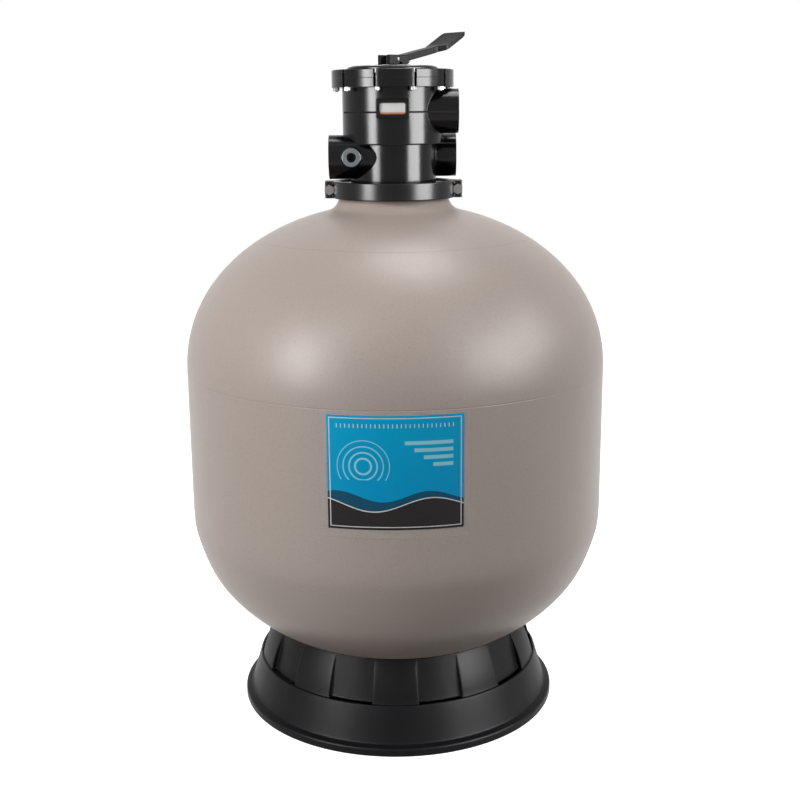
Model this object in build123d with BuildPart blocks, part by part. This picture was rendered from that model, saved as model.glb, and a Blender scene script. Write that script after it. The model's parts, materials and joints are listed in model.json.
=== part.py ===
"""Pool sand filter: a domed tank on a base ring, with a six-position valve clamped on top.

Millimetres, Z up. The origin is the middle of the base ring's underside, on the tank's
axis. The front, with the sight glass and the label, faces -Y, and the ports lie along X.
"""

import os
from math import acos, cos, degrees, radians, sin, tan

from build123d import *

os.makedirs("parts", exist_ok=True)

# ---------------------------------------------------------------- driving dimensions

# Tank: two domes, each a superellipse, on a straight wall
tank_radius = 305.0
shell_wall = 6.0
wall_low = 316.0
wall_high = 514.0
bottom_depth = 233.0
bottom_power = 2.17
top_height = 234.0
top_power = 2.08
neck_radius = 78.0
neck_bore = 70.0
neck_fillet = 24.0

# Joint between the tank and the valve: two conical flanges in one clamp
joint_height = 768.4
flange_radius = 84.0
flange_rim = 6.8
flange_slope = 24.0
flange_foot = 79.0
flange_gap = 0.6
clamp_radius = 88.0
clamp_half_height = 12.05
clamp_split = 3.0
lug_reach = 98.0
lug_depth = 13.5
lug_corner = 2.5
clamp_edge = 1.0
clamp_bolt_offset = 91.5
clamp_bolt_radius = 4.0
clamp_bolt_clearance = 0.4
clamp_bolt_flats = 13.0
clamp_spot_radius = 8.0
clamp_head_height = 5.3
clamp_nut_height = 6.5
clamp_bolt_tail = 3.0

# Base ring
rim_radius = 237.5
rim_height = 12.0
rim_edge = 1.5
skirt_low_radius = 228.0
skirt_low_height = 14.5
ledge_radius = 212.5
ledge_height = 65.0
panel_radius = 210.0
recess_radius = 203.0
seat_radius = 188.0
seat_height = 127.0
seat_width = 16.0
panel_bulge = 2.5
base_wall = 5.0
panel_count = 10
panel_arc = 18.0
panel_start = -100.0

# Valve body
lower_radius = 61.0
lower_wall = 5.5
upper_radius = 71.5
upper_wall = 6.0
step_height = 832.6
deck_top = 840.0
body_top = 921.5
rim_flange_radius = 86.0
rim_flange_height = 12.2
groove_height = 875.6
groove_width = 1.8
groove_depth = 1.0
centre_tube_radius = 30.0
pipe_radius = 25.0
pipe_bore = 22.5
pipe_clearance = 0.1
pipe_socket_top = 800.0
tube_foot = 752.0
deck_window_inner = 32.0
deck_window_outer = 52.0
rib_width = 4.0
rib_bond = 2.0
rib_foot = 783.0
sector_count = 6
diffuser_skirt_radius = 62.0
diffuser_skirt_drop = 12.0

# Ports, for 1-1/2 inch pipe thread
port_radius = 30.5
port_bore = 23.9
port_depth = 20.0
port_passage = 20.0
left_port = (-90.0, -26.0, 814.5)
right_port = (91.5, -23.0, 876.5)
low_port = (90.0, 23.0, 815.0)

# Gauge tapping in the left port, 1/4 inch
gauge_x = -58.0
gauge_height = 815.0
gauge_boss_radius = 14.5
gauge_boss_reach = 63.5
gauge_bore = 6.6
gauge_depth = 13.0
gauge_passage = 4.0
gauge_lip = 3.4

# Sight window
sight_height = 880.5
sight_width = 46.0
sight_tall = 26.0
sight_face = 73.0
sight_pocket_width = 39.0
sight_pocket_tall = 20.0
sight_open_width = 34.0
sight_open_tall = 15.0
sight_glass_depth = 3.0
sight_seal_depth = 1.5
sight_bezel_depth = 2.2
sight_corner = 2.0
sight_seal_lip = 1.0

# Lid and its bolts
lid_height = 11.8
lid_disc_radius = 64.0
lid_disc_rise = 4.2
lid_edge = 3.0
lid_rim_edge = 1.0
lid_roof = 6.0
lid_recess_radius = 62.0
lid_recess_corner = 2.0
lid_boss_radius = 27.0
lid_boss_rise = 1.2
plate_thickness = 0.8
plate_gap = 2.0
gland_radius = 15.0
gland_foot = 905.0
bolt_circle = 79.5
bolt_count = 10
bolt_start = -105.4
bolt_radius = 2.5
bolt_slot = 5.6
bolt_head_radius = 4.25
bolt_head_height = 5.0
bolt_head_clearance = 0.45
bolt_flats = 8.0
bolt_nut_height = 4.0
bolt_tail = 1.5
hex_key_flats = 4.0
hex_key_depth = 2.5

# Seals
neck_seal_radius = 74.5
neck_seal_width = 5.6
neck_seal_height = 3.8
lid_seal_radius = 70.0
lid_seal_width = 4.2
lid_seal_height = 3.0
gasket_outer = 56.0
gasket_inner = 25.5
gasket_rim = 4.0
gasket_thickness = 3.0
gasket_sunk = 1.5
gasket_spoke = 3.6

# Rotor, stem and spring
running_clearance = 0.05
rotor_radius = 58.0
rotor_height = 20.0
rotor_hub_radius = 28.0
rotor_hub_height = 7.0
rotor_recess_depth = 14.0
rotor_window_arc = 50.0
rotor_window_turn = 30.0
rotor_recess_arc = 112.0
rotor_recess_starts = (94.0, 214.0)
rotor_recess_draw = 8.0
rotor_link_turn = 153.0
rotor_link_width = 16.0
stem_radius = 9.0
stem_foot = 852.0
stem_flats = 12.0
stem_top_over_pin = 4.8
stem_tongue_drop = 3.0
stem_seal_heights = (913.0, 924.0)
stem_seal_depth = 2.2
stem_seal_width = 2.8
spring_radius = 21.0
spring_wire = 2.0
spring_turns = 6.5
spring_washer_thickness = 1.5
spring_washer_radius = 25.5
spring_washer_bore = 16.0

# Handle: a forked hub with cam noses, a rising arm and a bent paddle
handle_angle = 42.0
washer_thickness = 1.5
washer_radius = 26.0
washer_bore = 9.4
pin_height_over_washer = 8.0
pin_radius = 2.5
pin_edge = 0.4
cam_offset = 14.0
cam_radius = pin_height_over_washer - running_clearance
hub_width = 26.0
hub_back = 16.0
hub_top = 5.4
hub_foot = 7.6
fork_slot = 12.6
fork_depth = 13.0
notch_offset = 4.4
notch_radius = 3.2
arm_start = 15.0
arm_rise = 13.0
arm_reach = 88.0
arm_thickness = 9.4
arm_width = 21.0
paddle_rise = 30.0
paddle_length = 41.0
paddle_thickness = 6.0
paddle_width = 45.0
paddle_flare = 6.0
cheek_reach = 23.0

# Inside the tank
lateral_count = 8
lateral_height = 140.0
lateral_radius = 10.5
lateral_bore = 8.0
lateral_end = 172.0
lateral_slots = 12
lateral_slot_width = 1.2
lateral_slot_pitch = 9.0
lateral_slot_start = 50.0
lateral_slot_depth = 5.0
hub_radius = 44.0
hub_low = 92.0
hub_high = 176.0
hub_chamfer = 8.0
hub_socket_depth = 26.0
lateral_socket_depth = 14.0
diffuser_radius = 58.0
diffuser_wall = 3.0
diffuser_low = 704.0
diffuser_windows = 12
diffuser_window_width = 18.0
diffuser_window_low = 716.0
diffuser_window_tall = 28.0

# Drain, low at the back, square to the dome
drain_height = 165.0
drain_pad_radius = 26.0
drain_pad_out = 3.0
drain_pad_in = 9.0
drain_bore = 14.2
drain_spigot_radius = 14.0
drain_passage = 10.0
drain_flange_radius = 22.0
drain_flange = 4.0
drain_gasket = 2.0
drain_thread = 16.0
drain_tail = 3.0
drain_nut_flats = 40.0
drain_nut_height = 8.0
drain_cap_radius = 19.0
drain_cap_roof = 4.0
cap_seal_thickness = 2.0
drain_cap_grips = 12
drain_cap_gap = 2.0
drain_grip_width = 4.0
drain_grip_depth = 3.0
drain_grip_short = 1.0

# Label on the front of the shell
label_width = 176.0
label_low = 358.0
label_high = 508.0
label_thickness = 0.4

# ---------------------------------------------------------------- worked-out values

dome_steps = 8
flange_tan = tan(radians(flange_slope))
flange_foot_half = flange_rim + (flange_radius - flange_foot) * flange_tan
lid_base = body_top
lid_rim_top = lid_base + lid_height
lid_disc_top = lid_rim_top + lid_disc_rise
lid_boss_top = lid_disc_top + lid_boss_rise
lid_roof_under = lid_disc_top - lid_roof
washer_top = lid_boss_top + washer_thickness
pin_height = washer_top + pin_height_over_washer
rotor_low = deck_top - gasket_sunk + gasket_thickness + running_clearance
rotor_top = rotor_low + rotor_height
rotor_hub_top = rotor_top + rotor_hub_height
spring_high = lid_roof_under - spring_washer_thickness
handle_along = (cos(radians(handle_angle)), sin(radians(handle_angle)), 0)
handle_across = (sin(radians(handle_angle)), -cos(radians(handle_angle)), 0)
handle_plane = Plane(origin=(0, 0, pin_height), x_dir=handle_along, z_dir=handle_across)


def dome_point(radius, height, power, angle):
    """A point of the superellipse, from the wall (0 degrees) to the pole (90 degrees)."""
    share = 2 / power
    return radius * cos(radians(angle)) ** share, height * sin(radians(angle)) ** share


def dome_angle(radius, power, at_radius):
    """The angle at which the superellipse passes a given radius."""
    return degrees(acos((at_radius / radius) ** (power / 2)))


def dome_radius_at(radius, height, power, rise):
    """The radius of the dome at a given rise from its wall."""
    return radius * (1 - (rise / height) ** power) ** (1 / power)


def tank_form(inset, throat, top):
    """The tank's outline, drawn in by the inset, as a full solid with its neck."""
    radius = tank_radius - inset
    low_depth = bottom_depth - inset
    high_height = top_height - inset
    neck_angle = dome_angle(radius, top_power, throat)
    low_angles = [90 * n / dome_steps for n in range(dome_steps, -1, -1)]
    high_angles = [neck_angle * n / dome_steps for n in range(dome_steps + 1)]
    low_curve = [dome_point(radius, low_depth, bottom_power, angle) for angle in low_angles]
    high_curve = [dome_point(radius, high_height, top_power, angle) for angle in high_angles]
    with BuildPart() as form:
        with BuildSketch(Plane.XZ):
            with BuildLine():
                low_points = [(max(x, 0), wall_low - z) for x, z in low_curve]
                low_points[0] = (0, wall_low - low_depth)
                high_points = [(x, wall_high + z) for x, z in high_curve]
                Spline(*low_points, tangents=[(1, 0), (0, 1)])
                Line(low_points[-1], high_points[0])
                Spline(*high_points)
                Polyline(high_points[-1], (throat, top), (0, top), low_points[0])
            make_face()
        revolve(axis=Axis.Z)
        neck_edge = form.edges().filter_by(GeomType.CIRCLE).filter_by(
            lambda edge: abs(edge.radius - throat) < 0.01
        ).sort_by(Axis.Z)[0]
        fillet(neck_edge, radius=neck_fillet + inset)
    return form.part


def ring_sector(inner, outer, start, arc):
    """A flat sector of a ring, from a start angle through an arc."""
    with BuildSketch() as sector:
        with BuildLine():
            inside = CenterArc((0, 0), inner, start, arc)
            outside = CenterArc((0, 0), outer, start, arc)
            Line(inside @ 0, outside @ 0)
            Line(inside @ 1, outside @ 1)
        make_face()
    return sector.sketch


def bolt_slots():
    """The slots for the lid bolts, each open at the rim."""
    slot_length = rim_flange_radius + bolt_radius - bolt_circle
    with BuildSketch() as slots:
        with PolarLocations(bolt_circle, bolt_count, start_angle=bolt_start):
            Circle(bolt_slot / 2)
        with PolarLocations(bolt_circle + slot_length / 2, bolt_count, start_angle=bolt_start):
            Rectangle(slot_length, bolt_slot)
    return slots.sketch


def squeezed_ring(radius, width, height, middle):
    """An O-ring as it lies squeezed in its groove."""
    with BuildPart() as ring:
        with BuildSketch(Plane.XZ):
            with Locations((radius, middle)):
                Ellipse(width / 2, height / 2)
        revolve(axis=Axis.Z)
    return ring.part


# ---------------------------------------------------------------- tank shell

tank_outside = tank_form(0, neck_radius, joint_height)
tank_inside = tank_form(shell_wall, neck_bore, joint_height)

drain_rise = wall_low - drain_height
drain_radius = dome_radius_at(tank_radius, bottom_depth, bottom_power, drain_rise)
drain_slope_out = (drain_radius / tank_radius) ** (bottom_power - 1) / tank_radius
drain_slope_down = (drain_rise / bottom_depth) ** (bottom_power - 1) / bottom_depth
drain_plane = Plane(
    origin=(0, drain_radius, drain_height),
    x_dir=(1, 0, 0),
    z_dir=(0, drain_slope_out, -drain_slope_down),
)

with BuildPart() as tank_shell:
    add(tank_outside)
    with BuildSketch(Plane.XZ):
        with BuildLine():
            Polyline(
                (neck_bore, joint_height),
                (neck_bore, joint_height - flange_foot_half),
                (flange_foot, joint_height - flange_foot_half),
                (flange_radius, joint_height - flange_rim),
                (flange_radius, joint_height),
                close=True,
            )
        make_face()
    revolve(axis=Axis.Z)
    add(tank_inside, mode=Mode.SUBTRACT)
    with BuildSketch(drain_plane.offset(-drain_pad_in)):
        Circle(drain_pad_radius)
    extrude(amount=drain_pad_in + drain_pad_out)
    with BuildSketch(drain_plane.offset(-drain_pad_in)):
        Circle(drain_bore)
    extrude(amount=drain_pad_in + drain_pad_out, mode=Mode.SUBTRACT)
    with BuildSketch(Plane.XY.offset(joint_height)):
        Circle(neck_seal_radius + neck_seal_width / 2)
        Circle(neck_seal_radius - neck_seal_width / 2, mode=Mode.SUBTRACT)
    extrude(amount=-neck_seal_height, mode=Mode.SUBTRACT)
tank_shell.part.label = "tank_shell"
export_step(tank_shell.part, "parts/tank_shell.step")

# ---------------------------------------------------------------- base ring

panel_middle = (panel_radius + seat_radius) / 2

with BuildPart() as base_ring:
    with BuildSketch(Plane.XZ):
        with BuildLine():
            Polyline(
                (seat_radius - seat_width, seat_height),
                (seat_radius, seat_height),
                (seat_radius, seat_height - base_wall),
                (recess_radius, ledge_height),
                (ledge_radius, ledge_height),
                (skirt_low_radius, skirt_low_height),
                (rim_radius - rim_edge, rim_height),
                (rim_radius, rim_height - rim_edge),
                (rim_radius, 0),
                (rim_radius - base_wall, 0),
                (rim_radius - base_wall, rim_height - base_wall),
                (skirt_low_radius - base_wall, rim_height - base_wall),
                (ledge_radius - base_wall, ledge_height - base_wall),
                (recess_radius - base_wall, ledge_height - base_wall),
                (seat_radius - base_wall, seat_height - 3 * base_wall),
                (seat_radius - seat_width, seat_height - 3 * base_wall),
                close=True,
            )
        make_face()
    revolve(axis=Axis.Z)
    for panel in range(panel_count):
        panel_plane = Plane.XZ.rotated((0, 0, panel_start + panel * 360 / panel_count))
        with BuildSketch(panel_plane):
            with BuildLine():
                ThreePointArc(
                    (panel_radius, ledge_height),
                    (panel_middle + panel_bulge, (ledge_height + seat_height - base_wall) / 2),
                    (seat_radius, seat_height - base_wall),
                )
                Polyline(
                    (seat_radius, seat_height - base_wall),
                    (seat_radius - base_wall / 2, seat_height - base_wall),
                    (recess_radius - base_wall / 2, ledge_height),
                    (panel_radius, ledge_height),
                )
            make_face()
        revolve(axis=Axis.Z, revolution_arc=panel_arc)
    add(tank_outside, mode=Mode.SUBTRACT)
base_ring.part.label = "base_ring"
export_step(base_ring.part, "parts/base_ring.step")

# ---------------------------------------------------------------- seals that lie in grooves

neck_seal_middle = joint_height - neck_seal_height / 2
lid_seal_middle = body_top - lid_seal_height / 2

with BuildPart() as neck_oring:
    add(squeezed_ring(neck_seal_radius, neck_seal_width, neck_seal_height, neck_seal_middle))
neck_oring.part.label = "neck_oring"
export_step(neck_oring.part, "parts/neck_oring.step")

with BuildPart() as lid_oring:
    add(squeezed_ring(lid_seal_radius, lid_seal_width, lid_seal_height, lid_seal_middle))
lid_oring.part.label = "lid_oring"
export_step(lid_oring.part, "parts/lid_oring.step")

with BuildPart() as spider_gasket:
    with BuildSketch(Plane.XY.offset(deck_top - gasket_sunk)):
        Circle(gasket_outer)
        Circle(gasket_outer - gasket_rim, mode=Mode.SUBTRACT)
        Circle(gasket_inner + gasket_rim)
        Circle(gasket_inner, mode=Mode.SUBTRACT)
        with PolarLocations((gasket_outer + gasket_inner) / 2, sector_count):
            Rectangle(gasket_outer - gasket_inner - gasket_rim, gasket_spoke)
    extrude(amount=gasket_thickness)
spider_gasket.part.label = "spider_gasket"
export_step(spider_gasket.part, "parts/spider_gasket.step")

# ---------------------------------------------------------------- valve body

port_sides = ((left_port, -1), (right_port, 1), (low_port, 1))
rib_reach = deck_window_outer + rib_bond

with BuildPart() as valve_body:
    with BuildSketch(Plane.XZ):
        with BuildLine():
            Polyline(
                (0, joint_height),
                (flange_radius, joint_height),
                (flange_radius, joint_height + flange_rim),
                (flange_foot, joint_height + flange_foot_half),
                (lower_radius, joint_height + flange_foot_half),
                (lower_radius, step_height),
                (upper_radius, step_height),
                (upper_radius, groove_height - groove_width / 2),
                (upper_radius - groove_depth, groove_height - groove_width / 2),
                (upper_radius - groove_depth, groove_height + groove_width / 2),
                (upper_radius, groove_height + groove_width / 2),
                (upper_radius, body_top - rim_flange_height),
                (rim_flange_radius, body_top - rim_flange_height),
                (rim_flange_radius, body_top),
                (0, body_top),
                close=True,
            )
        make_face()
    revolve(axis=Axis.Z)
    for (port_x, port_y, port_z), side in port_sides:
        with BuildSketch(Plane.YZ.offset(port_x)):
            with Locations((port_y, port_z)):
                Circle(port_radius)
        extrude(amount=-port_x)
    with BuildSketch(Plane.XZ.offset(gauge_boss_reach)):
        with Locations((gauge_x, gauge_height)):
            Circle(gauge_boss_radius)
    extrude(amount=-(gauge_boss_reach + left_port[1]))
    gauge_mouth = valve_body.edges().filter_by(GeomType.CIRCLE).sort_by(Axis.Y)
    gauge_mouth = gauge_mouth.filter_by(lambda edge: abs(edge.radius - gauge_boss_radius) < 0.01)[0]
    fillet(gauge_mouth, radius=gauge_lip)
    with BuildSketch(Plane.XZ.offset(sight_face)):
        with Locations((0, sight_height)):
            RectangleRounded(sight_width, sight_tall, sight_corner)
    extrude(amount=-upper_wall)
    # Chambers: the lower one opens to the tank, the upper one is closed by the lid
    with BuildSketch(Plane.XY.offset(joint_height)):
        Circle(lower_radius - lower_wall)
    extrude(amount=step_height - joint_height, mode=Mode.SUBTRACT)
    with BuildSketch(Plane.XY.offset(deck_top)):
        Circle(upper_radius - upper_wall)
    extrude(amount=body_top - deck_top, mode=Mode.SUBTRACT)
    with BuildSketch(Plane.XY.offset(step_height)):
        Circle(deck_window_outer)
    extrude(amount=deck_top - step_height, mode=Mode.SUBTRACT)
    # Port threads and the passages behind them
    for (port_x, port_y, port_z), side in port_sides:
        with BuildSketch(Plane.YZ.offset(port_x)):
            with Locations((port_y, port_z)):
                Circle(port_bore)
        extrude(amount=-side * port_depth, mode=Mode.SUBTRACT)
        with BuildSketch(Plane.YZ.offset(port_x)):
            with Locations((port_y, port_z)):
                Circle(port_passage)
        extrude(amount=-side * (abs(port_x) - centre_tube_radius), mode=Mode.SUBTRACT)
    # Centre tube with the pipe's socket, and the ribs between the six sectors
    with BuildSketch(Plane.XY.offset(tube_foot)):
        Circle(centre_tube_radius)
    extrude(amount=deck_top - tube_foot)
    for sector in range(sector_count):
        rib_plane = Plane.XY.offset(rib_foot).rotated((0, 0, sector * 360 / sector_count))
        with BuildSketch(rib_plane):
            with Locations(((pipe_radius + rib_reach) / 2, 0)):
                Rectangle(rib_reach - pipe_radius, rib_width)
        extrude(amount=deck_top - rib_foot)
    with BuildSketch(Plane.XY.offset(tube_foot)):
        Circle(pipe_radius + pipe_clearance)
    extrude(amount=pipe_socket_top - tube_foot, mode=Mode.SUBTRACT)
    with BuildSketch(Plane.XY.offset(pipe_socket_top)):
        Circle(pipe_bore)
    extrude(amount=deck_top - pipe_socket_top, mode=Mode.SUBTRACT)
    # Skirt that the top diffuser pushes into
    with BuildSketch(Plane.XY.offset(joint_height - diffuser_skirt_drop)):
        Circle(diffuser_skirt_radius)
        Circle(diffuser_radius + pipe_clearance, mode=Mode.SUBTRACT)
    extrude(amount=diffuser_skirt_drop)
    add(spider_gasket.part, mode=Mode.SUBTRACT)
    with BuildSketch(Plane.XY.offset(body_top)):
        Circle(lid_seal_radius + lid_seal_width / 2)
        Circle(lid_seal_radius - lid_seal_width / 2, mode=Mode.SUBTRACT)
    extrude(amount=-lid_seal_height, mode=Mode.SUBTRACT)
    # Slots for the lid bolts, open at the rim
    with BuildSketch(Plane.XY.offset(body_top)):
        add(bolt_slots())
    extrude(amount=-rim_flange_height, mode=Mode.SUBTRACT)
    # Gauge tapping
    with BuildSketch(Plane.XZ.offset(gauge_boss_reach)):
        with Locations((gauge_x, gauge_height)):
            Circle(gauge_bore)
    extrude(amount=-gauge_depth, mode=Mode.SUBTRACT)
    with BuildSketch(Plane.XZ.offset(gauge_boss_reach)):
        with Locations((gauge_x, gauge_height)):
            Circle(gauge_passage)
    extrude(amount=-(gauge_boss_reach + left_port[1]), mode=Mode.SUBTRACT)
    # Sight window: a pocket for the seal and the glass, and the opening behind them
    with BuildSketch(Plane.XZ.offset(sight_face)):
        with Locations((0, sight_height)):
            RectangleRounded(sight_pocket_width, sight_pocket_tall, sight_corner)
    extrude(amount=-(sight_glass_depth + sight_seal_depth), mode=Mode.SUBTRACT)
    with BuildSketch(Plane.XZ.offset(sight_face)):
        with Locations((0, sight_height)):
            RectangleRounded(sight_open_width, sight_open_tall, sight_corner)
    extrude(amount=-(sight_face - centre_tube_radius), mode=Mode.SUBTRACT)
valve_body.part.label = "valve_body"
export_step(valve_body.part, "parts/valve_body.step")

# ---------------------------------------------------------------- clamp

clamp_low = joint_height - clamp_half_height
clamp_high = joint_height + clamp_half_height
groove_radius = flange_radius + flange_gap
groove_rim = flange_rim - flange_gap * flange_tan
lug_face = lug_depth + clamp_split / 2

with BuildPart() as clamp_front:
    with BuildSketch(Plane.XZ):
        with BuildLine():
            Polyline(
                (flange_foot, clamp_low),
                (clamp_radius - clamp_edge, clamp_low),
                (clamp_radius, clamp_low + clamp_edge),
                (clamp_radius, clamp_high - clamp_edge),
                (clamp_radius - clamp_edge, clamp_high),
                (flange_foot, clamp_high),
                (flange_foot, joint_height + flange_foot_half),
                (groove_radius, joint_height + groove_rim),
                (groove_radius, joint_height - groove_rim),
                (flange_foot, joint_height - flange_foot_half),
                close=True,
            )
        make_face()
    revolve(axis=Axis.Z)
    for side in (-1, 1):
        with BuildSketch(Plane.XY.offset(clamp_low)):
            with Locations((side * (groove_radius + lug_reach) / 2, 0)):
                RectangleRounded(lug_reach - groove_radius, 2 * lug_depth + clamp_split, lug_corner)
        extrude(amount=2 * clamp_half_height)
    with BuildSketch(Plane.XZ.offset(lug_depth + clamp_split)):
        with Locations((-clamp_bolt_offset, joint_height), (clamp_bolt_offset, joint_height)):
            Circle(clamp_bolt_radius + clamp_bolt_clearance)
    extrude(amount=-2 * (lug_depth + clamp_split), mode=Mode.SUBTRACT)
    # Flat seats beside the ring for the bolt heads and nuts
    with BuildSketch(Plane.XZ.offset(lug_face)):
        with Locations((-clamp_bolt_offset, joint_height), (clamp_bolt_offset, joint_height)):
            Circle(clamp_spot_radius)
    extrude(amount=lug_depth, mode=Mode.SUBTRACT)
    split(bisect_by=Plane.XZ.offset(clamp_split / 2), keep=Keep.TOP)
clamp_front.part.label = "clamp_front"
export_step(clamp_front.part, "parts/clamp_front.step")

with BuildPart() as clamp_rear:
    add(clamp_front.part)
    mirror(about=Plane.XZ, mode=Mode.REPLACE)
clamp_rear.part.label = "clamp_rear"
export_step(clamp_rear.part, "parts/clamp_rear.step")

with BuildPart() as clamp_bolts:
    for side in (-1, 1):
        with BuildSketch(Plane.XZ.offset(lug_face + clamp_head_height)):
            with Locations((side * clamp_bolt_offset, joint_height)):
                RegularPolygon(clamp_bolt_flats / 2, 6, major_radius=False, rotation=30)
        extrude(amount=-clamp_head_height)
        with BuildSketch(Plane.XZ.offset(lug_face)):
            with Locations((side * clamp_bolt_offset, joint_height)):
                Circle(clamp_bolt_radius)
        extrude(amount=-(2 * lug_face + clamp_nut_height + clamp_bolt_tail))
clamp_bolts.part.label = "clamp_bolts"
export_step(clamp_bolts.part, "parts/clamp_bolts.step")

with BuildPart() as clamp_nuts:
    for side in (-1, 1):
        with BuildSketch(Plane.XZ.offset(-lug_face)):
            with Locations((side * clamp_bolt_offset, joint_height)):
                RegularPolygon(clamp_bolt_flats / 2, 6, major_radius=False, rotation=30)
                Circle(clamp_bolt_radius, mode=Mode.SUBTRACT)
        extrude(amount=-clamp_nut_height)
clamp_nuts.part.label = "clamp_nuts"
export_step(clamp_nuts.part, "parts/clamp_nuts.step")

# ---------------------------------------------------------------- sight window

sight_seat = sight_face - sight_glass_depth - sight_seal_depth
seal_open_width = sight_open_width - sight_seal_lip
seal_open_tall = sight_open_tall - sight_seal_lip

with BuildPart() as sight_seal:
    with BuildSketch(Plane.XZ.offset(sight_seat)):
        with Locations((0, sight_height)):
            RectangleRounded(sight_pocket_width, sight_pocket_tall, sight_corner)
            RectangleRounded(seal_open_width, seal_open_tall, sight_corner, mode=Mode.SUBTRACT)
    extrude(amount=sight_seal_depth)
sight_seal.part.label = "sight_seal"
export_step(sight_seal.part, "parts/sight_seal.step")

with BuildPart() as sight_glass:
    with BuildSketch(Plane.XZ.offset(sight_seat + sight_seal_depth)):
        with Locations((0, sight_height)):
            RectangleRounded(sight_pocket_width, sight_pocket_tall, sight_corner)
    extrude(amount=sight_glass_depth)
sight_glass.part.label = "sight_glass"
export_step(sight_glass.part, "parts/sight_glass.step")

with BuildPart() as sight_bezel:
    with BuildSketch(Plane.XZ.offset(sight_face)):
        with Locations((0, sight_height)):
            RectangleRounded(sight_width, sight_tall, sight_corner)
            RectangleRounded(sight_open_width, sight_open_tall, sight_corner, mode=Mode.SUBTRACT)
    extrude(amount=sight_bezel_depth)
    chamfer(sight_bezel.faces().sort_by(Axis.Y)[0].edges(), length=sight_bezel_depth / 3)
sight_bezel.part.label = "sight_bezel"
export_step(sight_bezel.part, "parts/sight_bezel.step")

# ---------------------------------------------------------------- lid

stem_bore = stem_radius + running_clearance
lid_edge_middle = lid_edge * (1 - cos(radians(45)))

with BuildPart() as valve_lid:
    with BuildSketch(Plane.XZ):
        with BuildLine():
            Polyline(
                (lid_disc_radius - lid_edge, lid_disc_top),
                (lid_boss_radius, lid_disc_top),
                (lid_boss_radius, lid_boss_top),
                (stem_bore, lid_boss_top),
                (stem_bore, gland_foot),
                (gland_radius, gland_foot),
                (gland_radius, lid_roof_under),
                (lid_recess_radius - lid_recess_corner, lid_roof_under),
                (lid_recess_radius, lid_roof_under - lid_recess_corner),
                (lid_recess_radius, lid_base),
                (rim_flange_radius, lid_base),
                (rim_flange_radius, lid_rim_top - lid_rim_edge),
                (rim_flange_radius - lid_rim_edge, lid_rim_top),
                (lid_disc_radius, lid_rim_top),
                (lid_disc_radius, lid_disc_top - lid_edge),
            )
            ThreePointArc(
                (lid_disc_radius, lid_disc_top - lid_edge),
                (lid_disc_radius - lid_edge_middle, lid_disc_top - lid_edge_middle),
                (lid_disc_radius - lid_edge, lid_disc_top),
            )
        make_face()
    revolve(axis=Axis.Z)
    with BuildSketch(Plane.XY.offset(lid_rim_top)):
        add(bolt_slots())
    extrude(amount=-lid_height, mode=Mode.SUBTRACT)
    with BuildSketch(Plane.XY.offset(lid_rim_top)):
        with PolarLocations(bolt_circle, bolt_count, start_angle=bolt_start):
            Circle(bolt_head_radius + bolt_head_clearance)
    extrude(amount=-bolt_head_height, mode=Mode.SUBTRACT)
valve_lid.part.label = "valve_lid"
export_step(valve_lid.part, "parts/valve_lid.step")

nut_seat = body_top - rim_flange_height

with BuildPart() as lid_bolts:
    with BuildSketch(Plane.XY.offset(lid_rim_top - bolt_head_height)):
        with PolarLocations(bolt_circle, bolt_count, start_angle=bolt_start):
            Circle(bolt_head_radius)
    extrude(amount=bolt_head_height)
    with BuildSketch(Plane.XY.offset(lid_rim_top)):
        with PolarLocations(bolt_circle, bolt_count, start_angle=bolt_start):
            RegularPolygon(hex_key_flats / 2, 6, major_radius=False)
    extrude(amount=-hex_key_depth, mode=Mode.SUBTRACT)
    with BuildSketch(Plane.XY.offset(nut_seat - bolt_nut_height - bolt_tail)):
        with PolarLocations(bolt_circle, bolt_count, start_angle=bolt_start):
            Circle(bolt_radius)
    extrude(amount=lid_rim_top - bolt_head_height - nut_seat + bolt_nut_height + bolt_tail)
lid_bolts.part.label = "lid_bolts"
export_step(lid_bolts.part, "parts/lid_bolts.step")

with BuildPart() as lid_nuts:
    with BuildSketch(Plane.XY.offset(nut_seat)):
        with PolarLocations(bolt_circle, bolt_count, start_angle=bolt_start):
            RegularPolygon(bolt_flats / 2, 6, major_radius=False)
            Circle(bolt_radius, mode=Mode.SUBTRACT)
    extrude(amount=-bolt_nut_height)
lid_nuts.part.label = "lid_nuts"
export_step(lid_nuts.part, "parts/lid_nuts.step")

with BuildPart() as position_plate:
    with BuildSketch(Plane.XY.offset(lid_disc_top)):
        Circle(lid_disc_radius - 2 * lid_edge)
        Circle(lid_boss_radius + plate_gap, mode=Mode.SUBTRACT)
    extrude(amount=plate_thickness)
position_plate.part.label = "position_plate"
export_step(position_plate.part, "parts/position_plate.step")

# ---------------------------------------------------------------- rotor, stem, spring, washers

rotor_window_start = rotor_window_turn - rotor_window_arc / 2
rotor_recess_inner = deck_window_inner - rotor_recess_draw

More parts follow.
